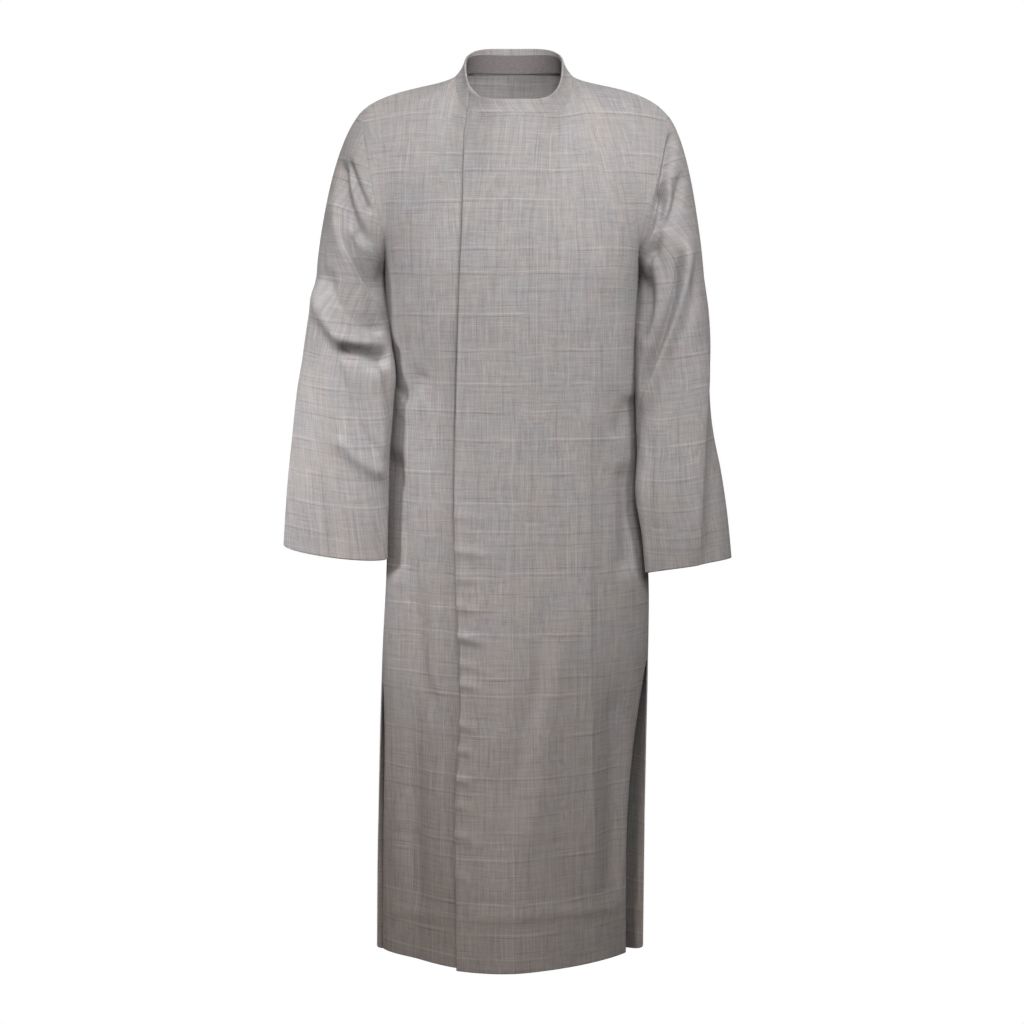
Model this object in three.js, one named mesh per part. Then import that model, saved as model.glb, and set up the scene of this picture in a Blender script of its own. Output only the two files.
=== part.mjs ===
// A qaba: a long, straight robe of light suiting with a stand collar, set-in sleeves, side slits
// and a left front that laps over the right one. It is shaped as worn, hollow, with no wearer.
// Millimetres, +Z up, the front faces -Y, and +X is the wearer's left. The origin is the middle
// of the neck base, where the robe hangs from the wearer's shoulders.
import * as THREE from "three";

// Cloth and seams
const WALL = 2; // cloth with the turnings behind it
const COLLAR_PLY = 1.4; // thickness of the collar's inner ply
const SEAM_GAP = 0.4; // between two pieces that are sewn together
const LAP_RISE = 3; // outer face of the lapping front over that of the other front
const MITRE_LIMIT = 0.63; // cosine of half the sharpest turn that is mitred at a seam
const PLY_STEP = 2.4; // inner ply of the collar behind the face of the outer ply

// Sides of the body and of the robe
const FRONT = -1;
const BACK = 1;
const LEFT = 1; // the wearer's left
const RIGHT = -1; // the wearer's right

// Levels and main sizes
const CHEST_Z = -290; // underarm
const HEM_Z = -1313;
const BACK_HEM_DROP = 18; // the back is cut this much longer in the middle
const SIDE_Y = 5; // side seams
const NECK_HALF = 86; // half the neck seam's width, where it meets the shoulder seams
const NECK_SIDE_Y = 10;
const NECK_FRONT = { reach: 107, drop: 64 };
const NECK_BACK = { reach: 60, drop: -7 };
const NECK_ROUND = 2; // how soon the neck seam drops from the shoulder
const COLLAR_TURN = { front: 0.06, back: 0.24, seam: 0.1 }; // shares of the collar's height
const COLLAR_TOP_HALF = 73;
const COLLAR_TOP_SIDE = { y: 8, z: 20 };
const COLLAR_TOP_FRONT = { reach: 98, drop: 63 };
const COLLAR_TOP_BACK = { reach: 58, drop: -25 };
const COLLAR_TOP_ROUND = 1.7;
const COLLAR_HOLLOW = 2; // how far the stand curves in at the sides of the neck
const INNER_PLY_START = 12; // past the end of the collar that lies beneath the lap
const NECK_SHARE = 0.27; // share of a panel's columns that lies under each shoulder seam
const LAP_UNDER = 72; // width of the right front that lies beneath the lap
const LAP_SETTLE = { from: 4, to: 60 }; // past it, where the lapping front settles back

// Columns and rows of the panels
const SHOULDER_COLUMNS = 6;
const BACK_NECK_COLUMNS = 12;
const OVER_NECK_COLUMNS = 10;
const UNDER_NECK_COLUMNS = 6;
const YOKE_ROWS = 13; // underarm to shoulder, also half the columns of a sleeve
const SKIRT_ROWS = 20; // underarm to hem
const CAP_ROWS = 6;
const ARM_ROWS = 20;
const COLLAR_ROWS = 3;
const HALVINGS = 30; // steps of a search by halving

// Body sections: half widths to the wearer's right and left, depths to the front and back of the
// side seams, and how far the section turns from a full oval (-0.3) into a pointed lens (1).
const BODY_ROWS = [
  { z: -290, right: 192, left: 185, front: 130, back: 118, lens: -0.3 },
  { z: -350, right: 188, left: 181, front: 129, back: 118, lens: -0.3 },
  { z: -430, right: 179, left: 179, front: 125, back: 114, lens: -0.25 },
  { z: -530, right: 186, left: 182, front: 122, back: 110, lens: -0.2 },
  { z: -620, right: 191, left: 190, front: 122, back: 112, lens: -0.1 },
  { z: -730, right: 192, left: 202, front: 125, back: 118, lens: 0.1 },
  { z: -860, right: 199, left: 203, front: 130, back: 124, lens: 0.4 },
  { z: -1000, right: 204, left: 201, front: 134, back: 128, lens: 0.75 },
  { z: -1160, right: 208, left: 199, front: 137, back: 130, lens: 0.9 },
  { z: -1313, right: 210, left: 198, front: 139, back: 131, lens: 0.92 },
];
const BACK_FLARE = 0.35; // how much flatter the back hangs beside the slits, at the hem

// Side slits from their tops down: how far the front's edge hangs in and forward of the back's.
const SLIT_ROWS = {
  [LEFT]: [
    { z: -855, inward: 0, forward: 0 },
    { z: -900, inward: 8, forward: 8 },
    { z: -1000, inward: 21, forward: 20 },
    { z: -1100, inward: 28, forward: 29 },
    { z: -1200, inward: 29, forward: 33 },
    { z: -1313, inward: 28, forward: 36 },
  ],
  [RIGHT]: [
    { z: -880, inward: 0, forward: 0 },
    { z: -930, inward: 5, forward: 6 },
    { z: -1000, inward: 8, forward: 9 },
    { z: -1150, inward: 9, forward: 13 },
    { z: -1313, inward: 10, forward: 16 },
  ],
};

// The lapping front's free edge, from the collar's top to the hem.
const LAP_EDGE = [
  { z: -24, x: -63 },
  { z: -56, x: -66 },
  { z: -106, x: -71 },
  { z: -190, x: -73 },
  { z: -314, x: -78 },
  { z: -471, x: -83 },
  { z: -612, x: -86 },
  { z: -740, x: -84 },
  { z: -870, x: -78 },
  { z: -960, x: -79 },
  { z: -1060, x: -85 },
  { z: -1313, x: -84 },
];

// Shoulder seams and armholes, from the tip of the shoulder
const SHOULDER = {
  [LEFT]: { x: 226, y: 5, z: -57, crest: 44, round: 0.16 },
  [RIGHT]: { x: 226, y: 5, z: -53, crest: 36, round: 0.18 },
};
const ARMHOLE_LOW = { x: -11, forward: 90, z: 50 }; // control point above the underarm
const ARMHOLE_HIGH = { x: -11, forward: 80, z: -93 }; // control point below the shoulder tip
const ARMHOLE_BACK_SHARE = 0.85;
const ARMHOLE_PULL = 0.3; // share of a panel that the armhole draws with it
const SHOULDER_BOW = { tip: 36, neck: 26, neckZ: -17 }; // control points of a shoulder seam

// Chest and shoulder blades: how far a column domes over (1) or runs straight (0) to its seam
const DOME = { sides: 0.95, [FRONT]: 0.2, [BACK]: 0.45, narrow: 4, lean: 1.6 };

// Sleeve head: the way it leaves the armhole at the underarm and at the shoulder tip
const CAP_LEAVE = {
  low: { out: 0.45, up: -0.9, share: 0.3 },
  high: { out: 0.7, up: -0.7 }, // its share is the round of the shoulder
  side: 0.28,
};
const CAP_ARRIVE = { in: 0.03, up: 0.42 };

// Sleeve sections: inner and outer edge, and depth in front of and behind the line between them.
const SLEEVE_ROWS = {
  [LEFT]: [
    { z: -300, inX: 187, inY: -4, outX: 281, outY: 5, front: 72, back: 70, tilt: 16, sag: 0 },
    { z: -360, inX: 183, inY: -28, outX: 286, outY: 5, front: 64, back: 64, tilt: 16, sag: 0 },
    { z: -430, inX: 182, inY: -42, outX: 288, outY: 8, front: 54, back: 58, tilt: 16, sag: 0 },
    { z: -512, inX: 185, inY: -55, outX: 294, outY: 10, front: 48, back: 50, tilt: 17, sag: 0 },
    { z: -594, inX: 186, inY: -64, outX: 308, outY: 8, front: 43, back: 44, tilt: 19, sag: 0 },
    { z: -660, inX: 197, inY: -62, outX: 318, outY: 4, front: 40, back: 41, tilt: 18, sag: 0 },
    { z: -722, inX: 203, inY: -56, outX: 325, outY: 0, front: 38, back: 40, tilt: 16, sag: -6 },
  ],
  [RIGHT]: [
    { z: -300, inX: 194, inY: -4, outX: 292, outY: 5, front: 72, back: 70, tilt: 14, sag: 0 },
    { z: -360, inX: 188, inY: -30, outX: 302, outY: 5, front: 64, back: 62, tilt: 14, sag: 0 },
    { z: -425, inX: 177, inY: -53, outX: 313, outY: 8, front: 50, back: 54, tilt: 14, sag: 0 },
    { z: -470, inX: 179, inY: -55, outX: 322, outY: 10, front: 44, back: 48, tilt: 14, sag: 0 },
    { z: -540, inX: 184, inY: -55, outX: 331, outY: 8, front: 37, back: 40, tilt: 14, sag: 1 },
    { z: -620, inX: 189, inY: -50, outX: 340, outY: 4, front: 30, back: 33, tilt: 14, sag: 3 },
    { z: -702, inX: 191, inY: -44, outX: 346, outY: 0, front: 24, back: 26, tilt: 16, sag: 6 },
  ],
};
const SLEEVE_LENS = 0.25;
const FOLDS_START = 3; // rows of the sleeve head that stay smooth beside the armhole

// Largest folds, as soft ridges (high above 0) and troughs (below 0) over three points each.
const SLEEVE_FOLDS = {
  [LEFT]: [
    { x0: 215, z0: -160, x1: 197, z1: -223, x2: 185, z2: -310, width: 11, high: -6 },
    { x0: 238, z0: -180, x1: 212, z1: -235, x2: 192, z2: -285, width: 10, high: 5 },
    { x0: 255, z0: -246, x1: 244, z1: -313, x2: 219, z2: -403, width: 13, high: 7 },
    { x0: 219, z0: -403, x1: 203, z1: -460, x2: 191, z2: -530, width: 12, high: 6 },
    { x0: 208, z0: -330, x1: 198, z1: -390, x2: 194, z2: -450, width: 13, high: -9 },
    { x0: 275, z0: -455, x1: 269, z1: -570, x2: 268, z2: -700, width: 13, high: -3 },
  ],
  [RIGHT]: [
    { x0: -246, z0: -107, x1: -228, z1: -185, x2: -203, z2: -240, width: 12, high: -5 },
    { x0: -253, z0: -164, x1: -236, z1: -240, x2: -210, z2: -320, width: 12, high: -6 },
    { x0: -232, z0: -275, x1: -212, z1: -325, x2: -184, z2: -375, width: 11, high: 5 },
    { x0: -292, z0: -378, x1: -240, z1: -392, x2: -186, z2: -396, width: 13, high: 7 },
    { x0: -250, z0: -408, x1: -215, z1: -422, x2: -184, z2: -424, width: 12, high: -11 },
    { x0: -200, z0: -445, x1: -192, z1: -500, x2: -187, z2: -570, width: 10, high: 5 },
    { x0: -287, z0: -350, x1: -262, z1: -425, x2: -243, z2: -495, width: 14, high: -4 },
  ],
};
const BODY_FOLDS = {
  [FRONT]: [
    { x0: 112, z0: -860, x1: 118, z1: -1050, x2: 122, z2: -1260, width: 20, high: 4 },
    { x0: 148, z0: -880, x1: 150, z1: -1040, x2: 146, z2: -1230, width: 18, high: -4 },
    { x0: -150, z0: -720, x1: -156, z1: -900, x2: -150, z2: -1100, width: 22, high: -4 },
    { x0: 162, z0: -470, x1: 168, z1: -590, x2: 166, z2: -720, width: 18, high: -4 },
  ],
  [BACK]: [
    { x0: 118, z0: -330, x1: 112, z1: -560, x2: 128, z2: -820, width: 24, high: -5 },
    { x0: -116, z0: -330, x1: -108, z1: -600, x2: -126, z2: -860, width: 24, high: -5 },
    { x0: 40, z0: -700, x1: 52, z1: -950, x2: 60, z2: -1290, width: 26, high: 4 },
    { x0: -58, z0: -760, x1: -66, z1: -980, x2: -72, z2: -1290, width: 26, high: 4 },
    { x0: 150, z0: -900, x1: 146, z1: -1080, x2: 150, z2: -1290, width: 22, high: -4 },
    { x0: -152, z0: -930, x1: -156, z1: -1100, x2: -152, z2: -1290, width: 22, high: -4 },
  ],
};

const { lerp, clamp, smoothstep } = THREE.MathUtils;

// A table's row at any level: each column runs smoothly through the rows given.
function rowAt(table, z) {
  const last = table.length - 2;
  let i = 0;
  while (i < last && z < table[i + 1].z) i += 1;
  const a = table[Math.max(i - 1, 0)];
  const b = table[i];
  const c = table[i + 1];
  const d = table[Math.min(i + 2, table.length - 1)];
  const t = clamp((z - b.z) / (c.z - b.z), 0, 1);
  const row = {};
  for (const name of Object.keys(b)) {
    const before = b.z === a.z ? c[name] - b[name] : (c[name] - a[name]) / (c.z - a.z);
    const after = c.z === d.z ? c[name] - b[name] : (d[name] - b[name]) / (d.z - b.z);
    const slopeB = b.z === a.z ? before : before * (c.z - b.z);
    const slopeC = c.z === d.z ? after : after * (c.z - b.z);
    const bend = t * (1 - t) * ((1 - t) * (slopeB - (c[name] - b[name])));
    row[name] = lerp(b[name], c[name], t) + bend - t * (1 - t) * t * (slopeC - (c[name] - b[name]));
  }
  return row;
}

// Height of all folds of a table at a place seen from the front or back.
function foldHeight(folds, x, z) {
  let height = 0;
  for (const f of folds) {
    const away = Math.min(
      distanceToLine(x, z, f.x0, f.z0, f.x1, f.z1),
      distanceToLine(x, z, f.x1, f.z1, f.x2, f.z2),
    );
    height += f.high * Math.exp(-((away / f.width) ** 2));
  }
  return height;
}

function distanceToLine(x, z, x0, z0, x1, z1) {
  const dx = x1 - x0;
  const dz = z1 - z0;
  const t = clamp(((x - x0) * dx + (z - z0) * dz) / (dx * dx + dz * dz), 0, 1);
  return Math.hypot(x - x0 - t * dx, z - z0 - t * dz);
}

// Outline of a half section: 0 at its two edges and 1 in the middle.
function bulge(share, lens) {
  const s = Math.sin(Math.PI * share);
  return (1 - lens) * s + lens * s * s;
}

function slitAt(side, arm, z) {
  const closed = side === BACK || z > SLIT_ROWS[arm][0].z;
  return closed ? { inward: 0, forward: 0 } : rowAt(SLIT_ROWS[arm], z);
}

// Body below the underarm. u runs from the wearer's right side seam (0) to the left one (1).
function skirtPoint(side, u, z) {
  const row = rowAt(BODY_ROWS, z);
  const left = slitAt(side, LEFT, z);
  const right = slitAt(side, RIGHT, z);
  const along = (1 - Math.cos(Math.PI * u)) / 2;
  const x = lerp(right.inward - row.right, row.left - left.inward, along);
  const hang = lerp(right.forward, left.forward, along);
  const depth = side === FRONT ? row.front : row.back;
  const flare = side === BACK ? BACK_FLARE * smoothstep(-z, -SLIT_ROWS[RIGHT][0].z, -HEM_Z) : 0;
  const fold = foldHeight(BODY_FOLDS[side], x, z) * Math.sin(Math.PI * u);
  const y = SIDE_Y + side * (hang + (depth - hang) * bulge(u, row.lens + flare) + fold);
  return new THREE.Vector3(x, y, z - backDrop(side, u, z));
}

// The back's rows sink towards its hem, which is longer in the middle.
function backDrop(side, u, z) {
  const low = clamp((CHEST_Z - z) / (CHEST_Z - HEM_Z), 0, 1);
  return side === BACK ? BACK_HEM_DROP * low ** 2 * Math.sin(Math.PI * u) : 0;
}

// Where a column ends above: on a shoulder seam, or on the neck seam between them.
function topSeam(side, u) {
  if (u < NECK_SHARE) return shoulderSeam(RIGHT, u / NECK_SHARE);
  if (u > 1 - NECK_SHARE) return shoulderSeam(LEFT, (1 - u) / NECK_SHARE);
  return neckSeam(side, u);
}

// From the shoulder tip (0) to the neck seam (1), a little hollow beside the neck.
function shoulderSeam(arm, share) {
  const tip = SHOULDER[arm];
  const curve = new THREE.CubicBezierCurve3(
    new THREE.Vector3(arm * tip.x, tip.y, tip.z),
    new THREE.Vector3(arm * (tip.x - SHOULDER_BOW.tip), tip.y, tip.z + tip.crest),
    new THREE.Vector3(arm * (NECK_HALF + SHOULDER_BOW.neck), NECK_SIDE_Y, SHOULDER_BOW.neckZ),
    new THREE.Vector3(arm * NECK_HALF, NECK_SIDE_Y, 0),
  );
  return curve.getPoint(share);
}

function neckAngle(u) {
  return (Math.PI * (u - NECK_SHARE)) / (1 - 2 * NECK_SHARE);
}

function neckSeam(side, u) {
  const neck = side === FRONT ? NECK_FRONT : NECK_BACK;
  const s = Math.sin(neckAngle(u));
  const x = -NECK_HALF * Math.cos(neckAngle(u));
  const y = NECK_SIDE_Y + side * neck.reach * s;
  return new THREE.Vector3(x, y, -neck.drop * (1 - (1 - s) ** NECK_ROUND));
}

// The collar's top edge over the same columns.
function collarTop(side, u) {
  const top = side === FRONT ? COLLAR_TOP_FRONT : COLLAR_TOP_BACK;
  const s = Math.sin(neckAngle(u));
  const x = -COLLAR_TOP_HALF * Math.cos(neckAngle(u));
  const y = COLLAR_TOP_SIDE.y + side * top.reach * s;
  const z = COLLAR_TOP_SIDE.z - top.drop * (1 - (1 - s) ** COLLAR_TOP_ROUND);
  return new THREE.Vector3(x, y, z);
}

// Armhole seam, from the underarm (0) to the shoulder tip (1).
function armhole(side, arm, v) {
  const low = skirtPoint(side, arm === LEFT ? 1 : 0, CHEST_Z);
  const tip = SHOULDER[arm];
  const share = side === FRONT ? 1 : ARMHOLE_BACK_SHARE;
  const curve = new THREE.CubicBezierCurve3(
    low,
    new THREE.Vector3(
      low.x + arm * ARMHOLE_LOW.x,
      low.y + side * share * ARMHOLE_LOW.forward,
      low.z + ARMHOLE_LOW.z,
    ),
    new THREE.Vector3(
      arm * (tip.x + ARMHOLE_HIGH.x),
      tip.y + side * share * ARMHOLE_HIGH.forward,
      tip.z + ARMHOLE_HIGH.z,
    ),
    new THREE.Vector3(arm * tip.x, tip.y, tip.z),
  );
  return curve.getPoint(v);
}

// A column above the underarm rises from the chest and domes over to the seam above it.
function domePoint(side, u, v) {
  const chest = skirtPoint(side, u, CHEST_Z);
  const seam = topSeam(side, u);
  const dome = lerp(DOME.sides, DOME[side], Math.sin(Math.PI * u) ** DOME.narrow);
  const rise = lerp(v, Math.sin((v * Math.PI) / 2), dome);
  const reach = lerp(v ** DOME.lean, 1 - Math.cos((v * Math.PI) / 2), dome);
  return new THREE.Vector3(
    lerp(chest.x, seam.x, reach),
    lerp(chest.y, seam.y, reach),
    lerp(chest.z, seam.z, rise),
  );
}

// Body above the underarm: the domed columns, drawn to the armholes at both sides.
function yokePoint(side, u, v) {
  const p = domePoint(side, u, v);
  for (const arm of [LEFT, RIGHT]) {
    const edge = arm === LEFT ? 1 : 0;
    const pull = clamp(1 - Math.abs(u - edge) / ARMHOLE_PULL, 0, 1) ** 2;
    const shift = armhole(side, arm, v).sub(domePoint(side, edge, v));
    p.addScaledVector(shift, pull);
  }
  return p;
}

// Rows of a body panel: above the underarm v is the share of the yoke's height, from 1 to 0.
function bodyLevels() {
  const levels = [];
  for (let i = YOKE_ROWS; i > 0; i -= 1) levels.push({ v: i / YOKE_ROWS });
  for (let i = 0; i <= SKIRT_ROWS; i += 1) {
    levels.push({ z: lerp(CHEST_Z, HEM_Z, i / SKIRT_ROWS) });
  }
  return levels;
}

function bodyPoint(side, u, level) {
  return level.v === undefined ? skirtPoint(side, u, level.z) : yokePoint(side, u, level.v);
}

// The column of the front at a given distance from the lap's edge, found by halving.
function lapColumn(level, beyond) {
  let low = NECK_SHARE / 2;
  let high = 1 - NECK_SHARE;
  for (let i = 0; i < HALVINGS; i += 1) {
    const u = (low + high) / 2;
    const p = bodyPoint(FRONT, u, level);
    if (p.x < rowAt(LAP_EDGE, p.z).x + beyond) low = u;
    else high = u;
  }
  return (low + high) / 2;
}

// Shares from a to b in equal steps, without the last one.
function steps(a, b, count) {
  return Array.from({ length: count }, (_, i) => lerp(a, b, i / count));
}

// A grid of cells, each with its outer point and its direction out of the cloth. Rows run down,
// and columns run from left to right as seen from outside.
function makeGrid(points, closed = false) {
  const grid = points.map((row) => row.map((p) => ({ p, out: new THREE.Vector3() })));
  setNormals(grid, closed);
  return grid;
}

function setNormals(grid, closed) {
  const rows = grid.length;
  const columns = grid[0].length;
  for (let i = 0; i < rows; i += 1) {
    for (let j = 0; j < columns; j += 1) {
      const up = grid[Math.max(i - 1, 0)][j].p;
      const down = grid[Math.min(i + 1, rows - 1)][j].p;
      const before = grid[i][closed ? (j + columns - 1) % columns : Math.max(j - 1, 0)].p;
      const after = grid[i][closed ? (j + 1) % columns : Math.min(j + 1, columns - 1)].p;
      grid[i][j].out.crossVectors(after.clone().sub(before), up.clone().sub(down)).normalize();
    }
  }
}

// Cells that meet at a seam share the direction of their thickness, unless the pieces fold
// back on each other, as at the underarm.
function meet(...cells) {
  const shared = new THREE.Vector3();
  for (const cell of cells) shared.add(cell.out);
  shared.normalize();
  if (cells.some((cell) => cell.out.dot(shared) < MITRE_LIMIT)) return;
  for (const cell of cells) cell.out.copy(shared);
}

function sew(edgeA, edgeB) {
  edgeA.forEach((cell, k) => meet(cell, edgeB[k]));
}

// Draws an edge back from its seam by half the gap, towards the next line of cells.
function trim(edge, next) {
  edge.forEach((cell, k) => {
    const inward = next[k].p.clone().sub(cell.p).normalize();
    cell.p.addScaledVector(inward, SEAM_GAP / 2);
  });
}

const column = (grid, j) => grid.map((row) => row[j]);
const lastOf = (list) => list[list.length - 1];

// A closed wall: the outer points, the same points moved in by the thickness, and the rims.
function wallGeometry(grid, thick, closed = false) {
  const rows = grid.length;
  const columns = grid[0].length;
  const positions = [];
  const inner = rows * columns;
  for (const depth of [0, thick]) {
    for (const cell of grid.flat()) {
      const q = cell.p.clone().addScaledVector(cell.out, -depth);
      positions.push(q.x, q.y, q.z);
    }
  }
  const at = (i, j) => i * columns + (j % columns);
  const faces = [];
  const quad = (a, b, c, d) => faces.push(a, b, c, a, c, d);
  const across = closed ? columns : columns - 1;
  for (let i = 0; i < rows - 1; i += 1) {
    for (let j = 0; j < across; j += 1) {
      quad(at(i, j), at(i + 1, j), at(i + 1, j + 1), at(i, j + 1));
      quad(inner + at(i, j), inner + at(i, j + 1), inner + at(i + 1, j + 1), inner + at(i + 1, j));
    }
    if (!closed) {
      quad(at(i, 0), inner + at(i, 0), inner + at(i + 1, 0), at(i + 1, 0));
      const e = columns - 1;
      quad(at(i, e), at(i + 1, e), inner + at(i + 1, e), inner + at(i, e));
    }
  }
  for (let j = 0; j < across; j += 1) {
    const e = rows - 1;
    quad(at(0, j), at(0, j + 1), inner + at(0, j + 1), inner + at(0, j));
    quad(at(e, j), inner + at(e, j), inner + at(e, j + 1), at(e, j + 1));
  }
  const geometry = new THREE.BufferGeometry();
  geometry.setAttribute("position", new THREE.Float32BufferAttribute(positions, 3));
  geometry.setIndex(faces);
  geometry.computeVertexNormals();
  return geometry;
}

// Back: one piece from side seam to side seam.
function backGrid() {
  const us = [
    ...steps(1, 1 - NECK_SHARE, SHOULDER_COLUMNS),
    ...steps(1 - NECK_SHARE, NECK_SHARE, BACK_NECK_COLUMNS),
    ...steps(NECK_SHARE, 0, SHOULDER_COLUMNS),
    0,
  ];
  return makeGrid(bodyLevels().map((level) => us.map((u) => bodyPoint(BACK, u, level))));
}

// The wearer's left front: from the lap's edge to the left side seam, raised over the lap.
function overGrid() {
  const rows = bodyLevels().map((level) => {
    const edge = lapColumn(level, 0);
    const us = [
      ...steps(edge, 1 - NECK_SHARE, OVER_NECK_COLUMNS),
      ...steps(1 - NECK_SHARE, 1, SHOULDER_COLUMNS),
      1,
    ];
    return us.map((u) => bodyPoint(FRONT, u, level));
  });
  const grid = makeGrid(rows);
  grid.flat().forEach(raiseLap);
  return grid;
}

function raiseLap(cell) {
  const beyond = cell.p.x - rowAt(LAP_EDGE, cell.p.z).x - LAP_UNDER;
  const rise = LAP_RISE * (1 - smoothstep(beyond, LAP_SETTLE.from, LAP_SETTLE.to));
  cell.p.addScaledVector(cell.out, rise);
}

// The wearer's right front: from the right side seam to its edge beneath the lap.
function underGrid() {
  const rows = bodyLevels().map((level) => {
    const edge = lapColumn(level, LAP_UNDER);
    const us = [
      ...steps(0, NECK_SHARE, SHOULDER_COLUMNS),
      ...steps(NECK_SHARE, edge, UNDER_NECK_COLUMNS),
      edge,
    ];
    return us.map((u) => bodyPoint(FRONT, u, level));
  });
  return makeGrid(rows);
}

// A point of the stand collar, from its seam (0) to its top edge (1), a little hollow outside.
function collarPoint(side, u, topU, share) {
  const seam = neckSeam(side, u);
  const top = collarTop(side, topU);
  const hollow = COLLAR_HOLLOW * Math.sin(Math.PI * share) * Math.abs(Math.cos(neckAngle(u)));
  const p = seam.lerp(top, share);
  p.x -= Math.sign(p.x) * hollow;
  return p;
}

// Columns of the collar: along the lapping front, round the back, and on beneath the lap.
function collarColumns() {
  const level = { v: 1 };
  const edge = lapColumn(level, 0);
  const topEdge = Math.acos(-rowAt(LAP_EDGE, 0).x / COLLAR_TOP_HALF);
  const topU = NECK_SHARE + (topEdge / Math.PI) * (1 - 2 * NECK_SHARE);
  const columns = [];
  for (const share of steps(0, 1, OVER_NECK_COLUMNS)) {
    const u = lerp(edge, 1 - NECK_SHARE, share);
    columns.push({ side: FRONT, u, topU: lerp(topU, 1 - NECK_SHARE, share), lap: true });
  }
  for (const u of steps(1 - NECK_SHARE, NECK_SHARE, BACK_NECK_COLUMNS)) {
    columns.push({ side: BACK, u, topU: u, lap: false });
  }
  for (const u of [
    ...steps(NECK_SHARE, lapColumn(level, LAP_UNDER), UNDER_NECK_COLUMNS),
    lapColumn(level, LAP_UNDER),
  ]) {
    columns.push({ side: FRONT, u, topU: u, lap: false });
  }
  return columns;
}

// Rows of a collar ply down from its top. Over the lap it lies as far out as the front does.
function collarGrid(columns, topShare, lowShare) {
  const rows = [];
  for (let i = 0; i <= COLLAR_ROWS; i += 1) {
    rows.push(
      columns.map((c) => {
        const share = lerp(topShare(c), lowShare, i / COLLAR_ROWS);
        return collarPoint(c.side, c.u, c.topU, share);
      }),
    );
  }
  const grid = makeGrid(rows);
  grid.forEach((row) => row.forEach((cell, j) => columns[j].lap && raiseLap(cell)));
  return grid;
}

// The inner ply starts past the end of the right side's collar, and stops short of the top edge
// round the back of the neck, where the outer ply turns over.
function innerCollarGrid(columns) {
  const start = rowAt(LAP_EDGE, 0).x + LAP_UNDER + INNER_PLY_START;
  const inner = columns.filter((c) => !c.lap || neckSeam(FRONT, c.u).x > start);
  const topShare = (c) => {
    const back = c.side === BACK ? Math.sin(neckAngle(c.u)) : 0;
    return 1 - lerp(COLLAR_TURN.front, COLLAR_TURN.back, back);
  };
  const grid = collarGrid(inner, topShare, COLLAR_TURN.seam);
  grid.flat().forEach((cell) => cell.p.addScaledVector(cell.out, -PLY_STEP));
  return grid;
}

// A sleeve's section at a level of its arm, from the underarm edge (0) round by the front.
function armPoint(arm, turn, z) {
  const row = rowAt(SLEEVE_ROWS[arm], z);
  const inner = new THREE.Vector2(row.inX, row.inY);
  const outer = new THREE.Vector2(row.outX, row.outY);
  const chord = outer.clone().sub(inner);
  const normal = new THREE.Vector2(chord.y, -chord.x).normalize();
  const front = turn <= 1;
  const half = front ? turn : 2 - turn;
  const along = (1 - Math.cos(Math.PI * half)) / 2;
  const depth = (front ? row.front : -row.back) * bulge(half, SLEEVE_LENS);
  const p = inner.addScaledVector(chord, along).addScaledVector(normal, depth);
  const level = z + row.tilt * (along - 0.5) - (front ? row.sag * Math.sin(Math.PI * half) : 0);
  return new THREE.Vector3(arm * p.x, p.y, level);
}

// The sleeve head runs from the armhole outwards and down to the first section of the arm.
function capPoint(arm, turn, share) {
  const front = turn <= 1;
  const high = front ? turn : 2 - turn;
  const start = armhole(front ? FRONT : BACK, arm, high);
  const end = armPoint(arm, turn, SLEEVE_ROWS[arm][0].z);
  const long = start.distanceTo(end);
  const side = (front ? FRONT : BACK) * Math.sin(Math.PI * high);
  const { low: bottom, high: top } = CAP_LEAVE;
  const out = lerp(bottom.out, top.out, high);
  const leave = new THREE.Vector3(arm * out, CAP_LEAVE.side * side, lerp(bottom.up, top.up, high));
  const arrive = new THREE.Vector3(-arm * CAP_ARRIVE.in, 0, CAP_ARRIVE.up);
  const curve = new THREE.CubicBezierCurve3(
    start,
    start.clone().addScaledVector(leave, long * lerp(bottom.share, SHOULDER[arm].round, high)),
    end.clone().addScaledVector(arrive, long),
    end,
  );
  return curve.getPoint(share);
}

function sleeveGrid(arm) {
  const turns = arm === LEFT ? steps(0, 2, 2 * YOKE_ROWS) : steps(2, 0, 2 * YOKE_ROWS);
  const first = SLEEVE_ROWS[arm][0].z;
  const cuff = lastOf(SLEEVE_ROWS[arm]).z;
  const rows = [];
  for (const share of steps(0, 1, CAP_ROWS)) {
    rows.push(turns.map((turn) => capPoint(arm, turn, share)));
  }
  for (const z of [...steps(first, cuff, ARM_ROWS), cuff]) {
    rows.push(turns.map((turn) => armPoint(arm, turn, z)));
  }
  const grid = makeGrid(rows, true);
  grid.forEach((row, i) => row.forEach((cell, j) => foldSleeve(cell, arm, turns[j], i)));
  return grid;
}

function foldSleeve(cell, arm, turn, row) {
  if (turn > 1) return;
  const fade = Math.sqrt(Math.sin(Math.PI * turn)) * smoothstep(row, 0, FOLDS_START);
  const height = foldHeight(SLEEVE_FOLDS[arm], cell.p.x, cell.p.z) * fade;
  cell.p.addScaledVector(cell.out, height);
}

function clothMaterial(color) {
  return new THREE.MeshStandardMaterial({ color, roughness: 0.9, metalness: 0 });
}

// The armhole's cells on the body in the order of a sleeve's columns.
function armholeCells(risingEdge, fallingEdge) {
  const rising = risingEdge.slice(0, YOKE_ROWS + 1).reverse();
  const falling = fallingEdge.slice(0, YOKE_ROWS + 1);
  return [...rising, ...falling.slice(1, -1)];
}

const back = backGrid();
const over = overGrid();
const under = underGrid();
const collarList = collarColumns();
const collarOuter = collarGrid(collarList, () => 1, 0);
const collarInner = innerCollarGrid(collarList);
const sleeves = { [LEFT]: sleeveGrid(LEFT), [RIGHT]: sleeveGrid(RIGHT) };

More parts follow.
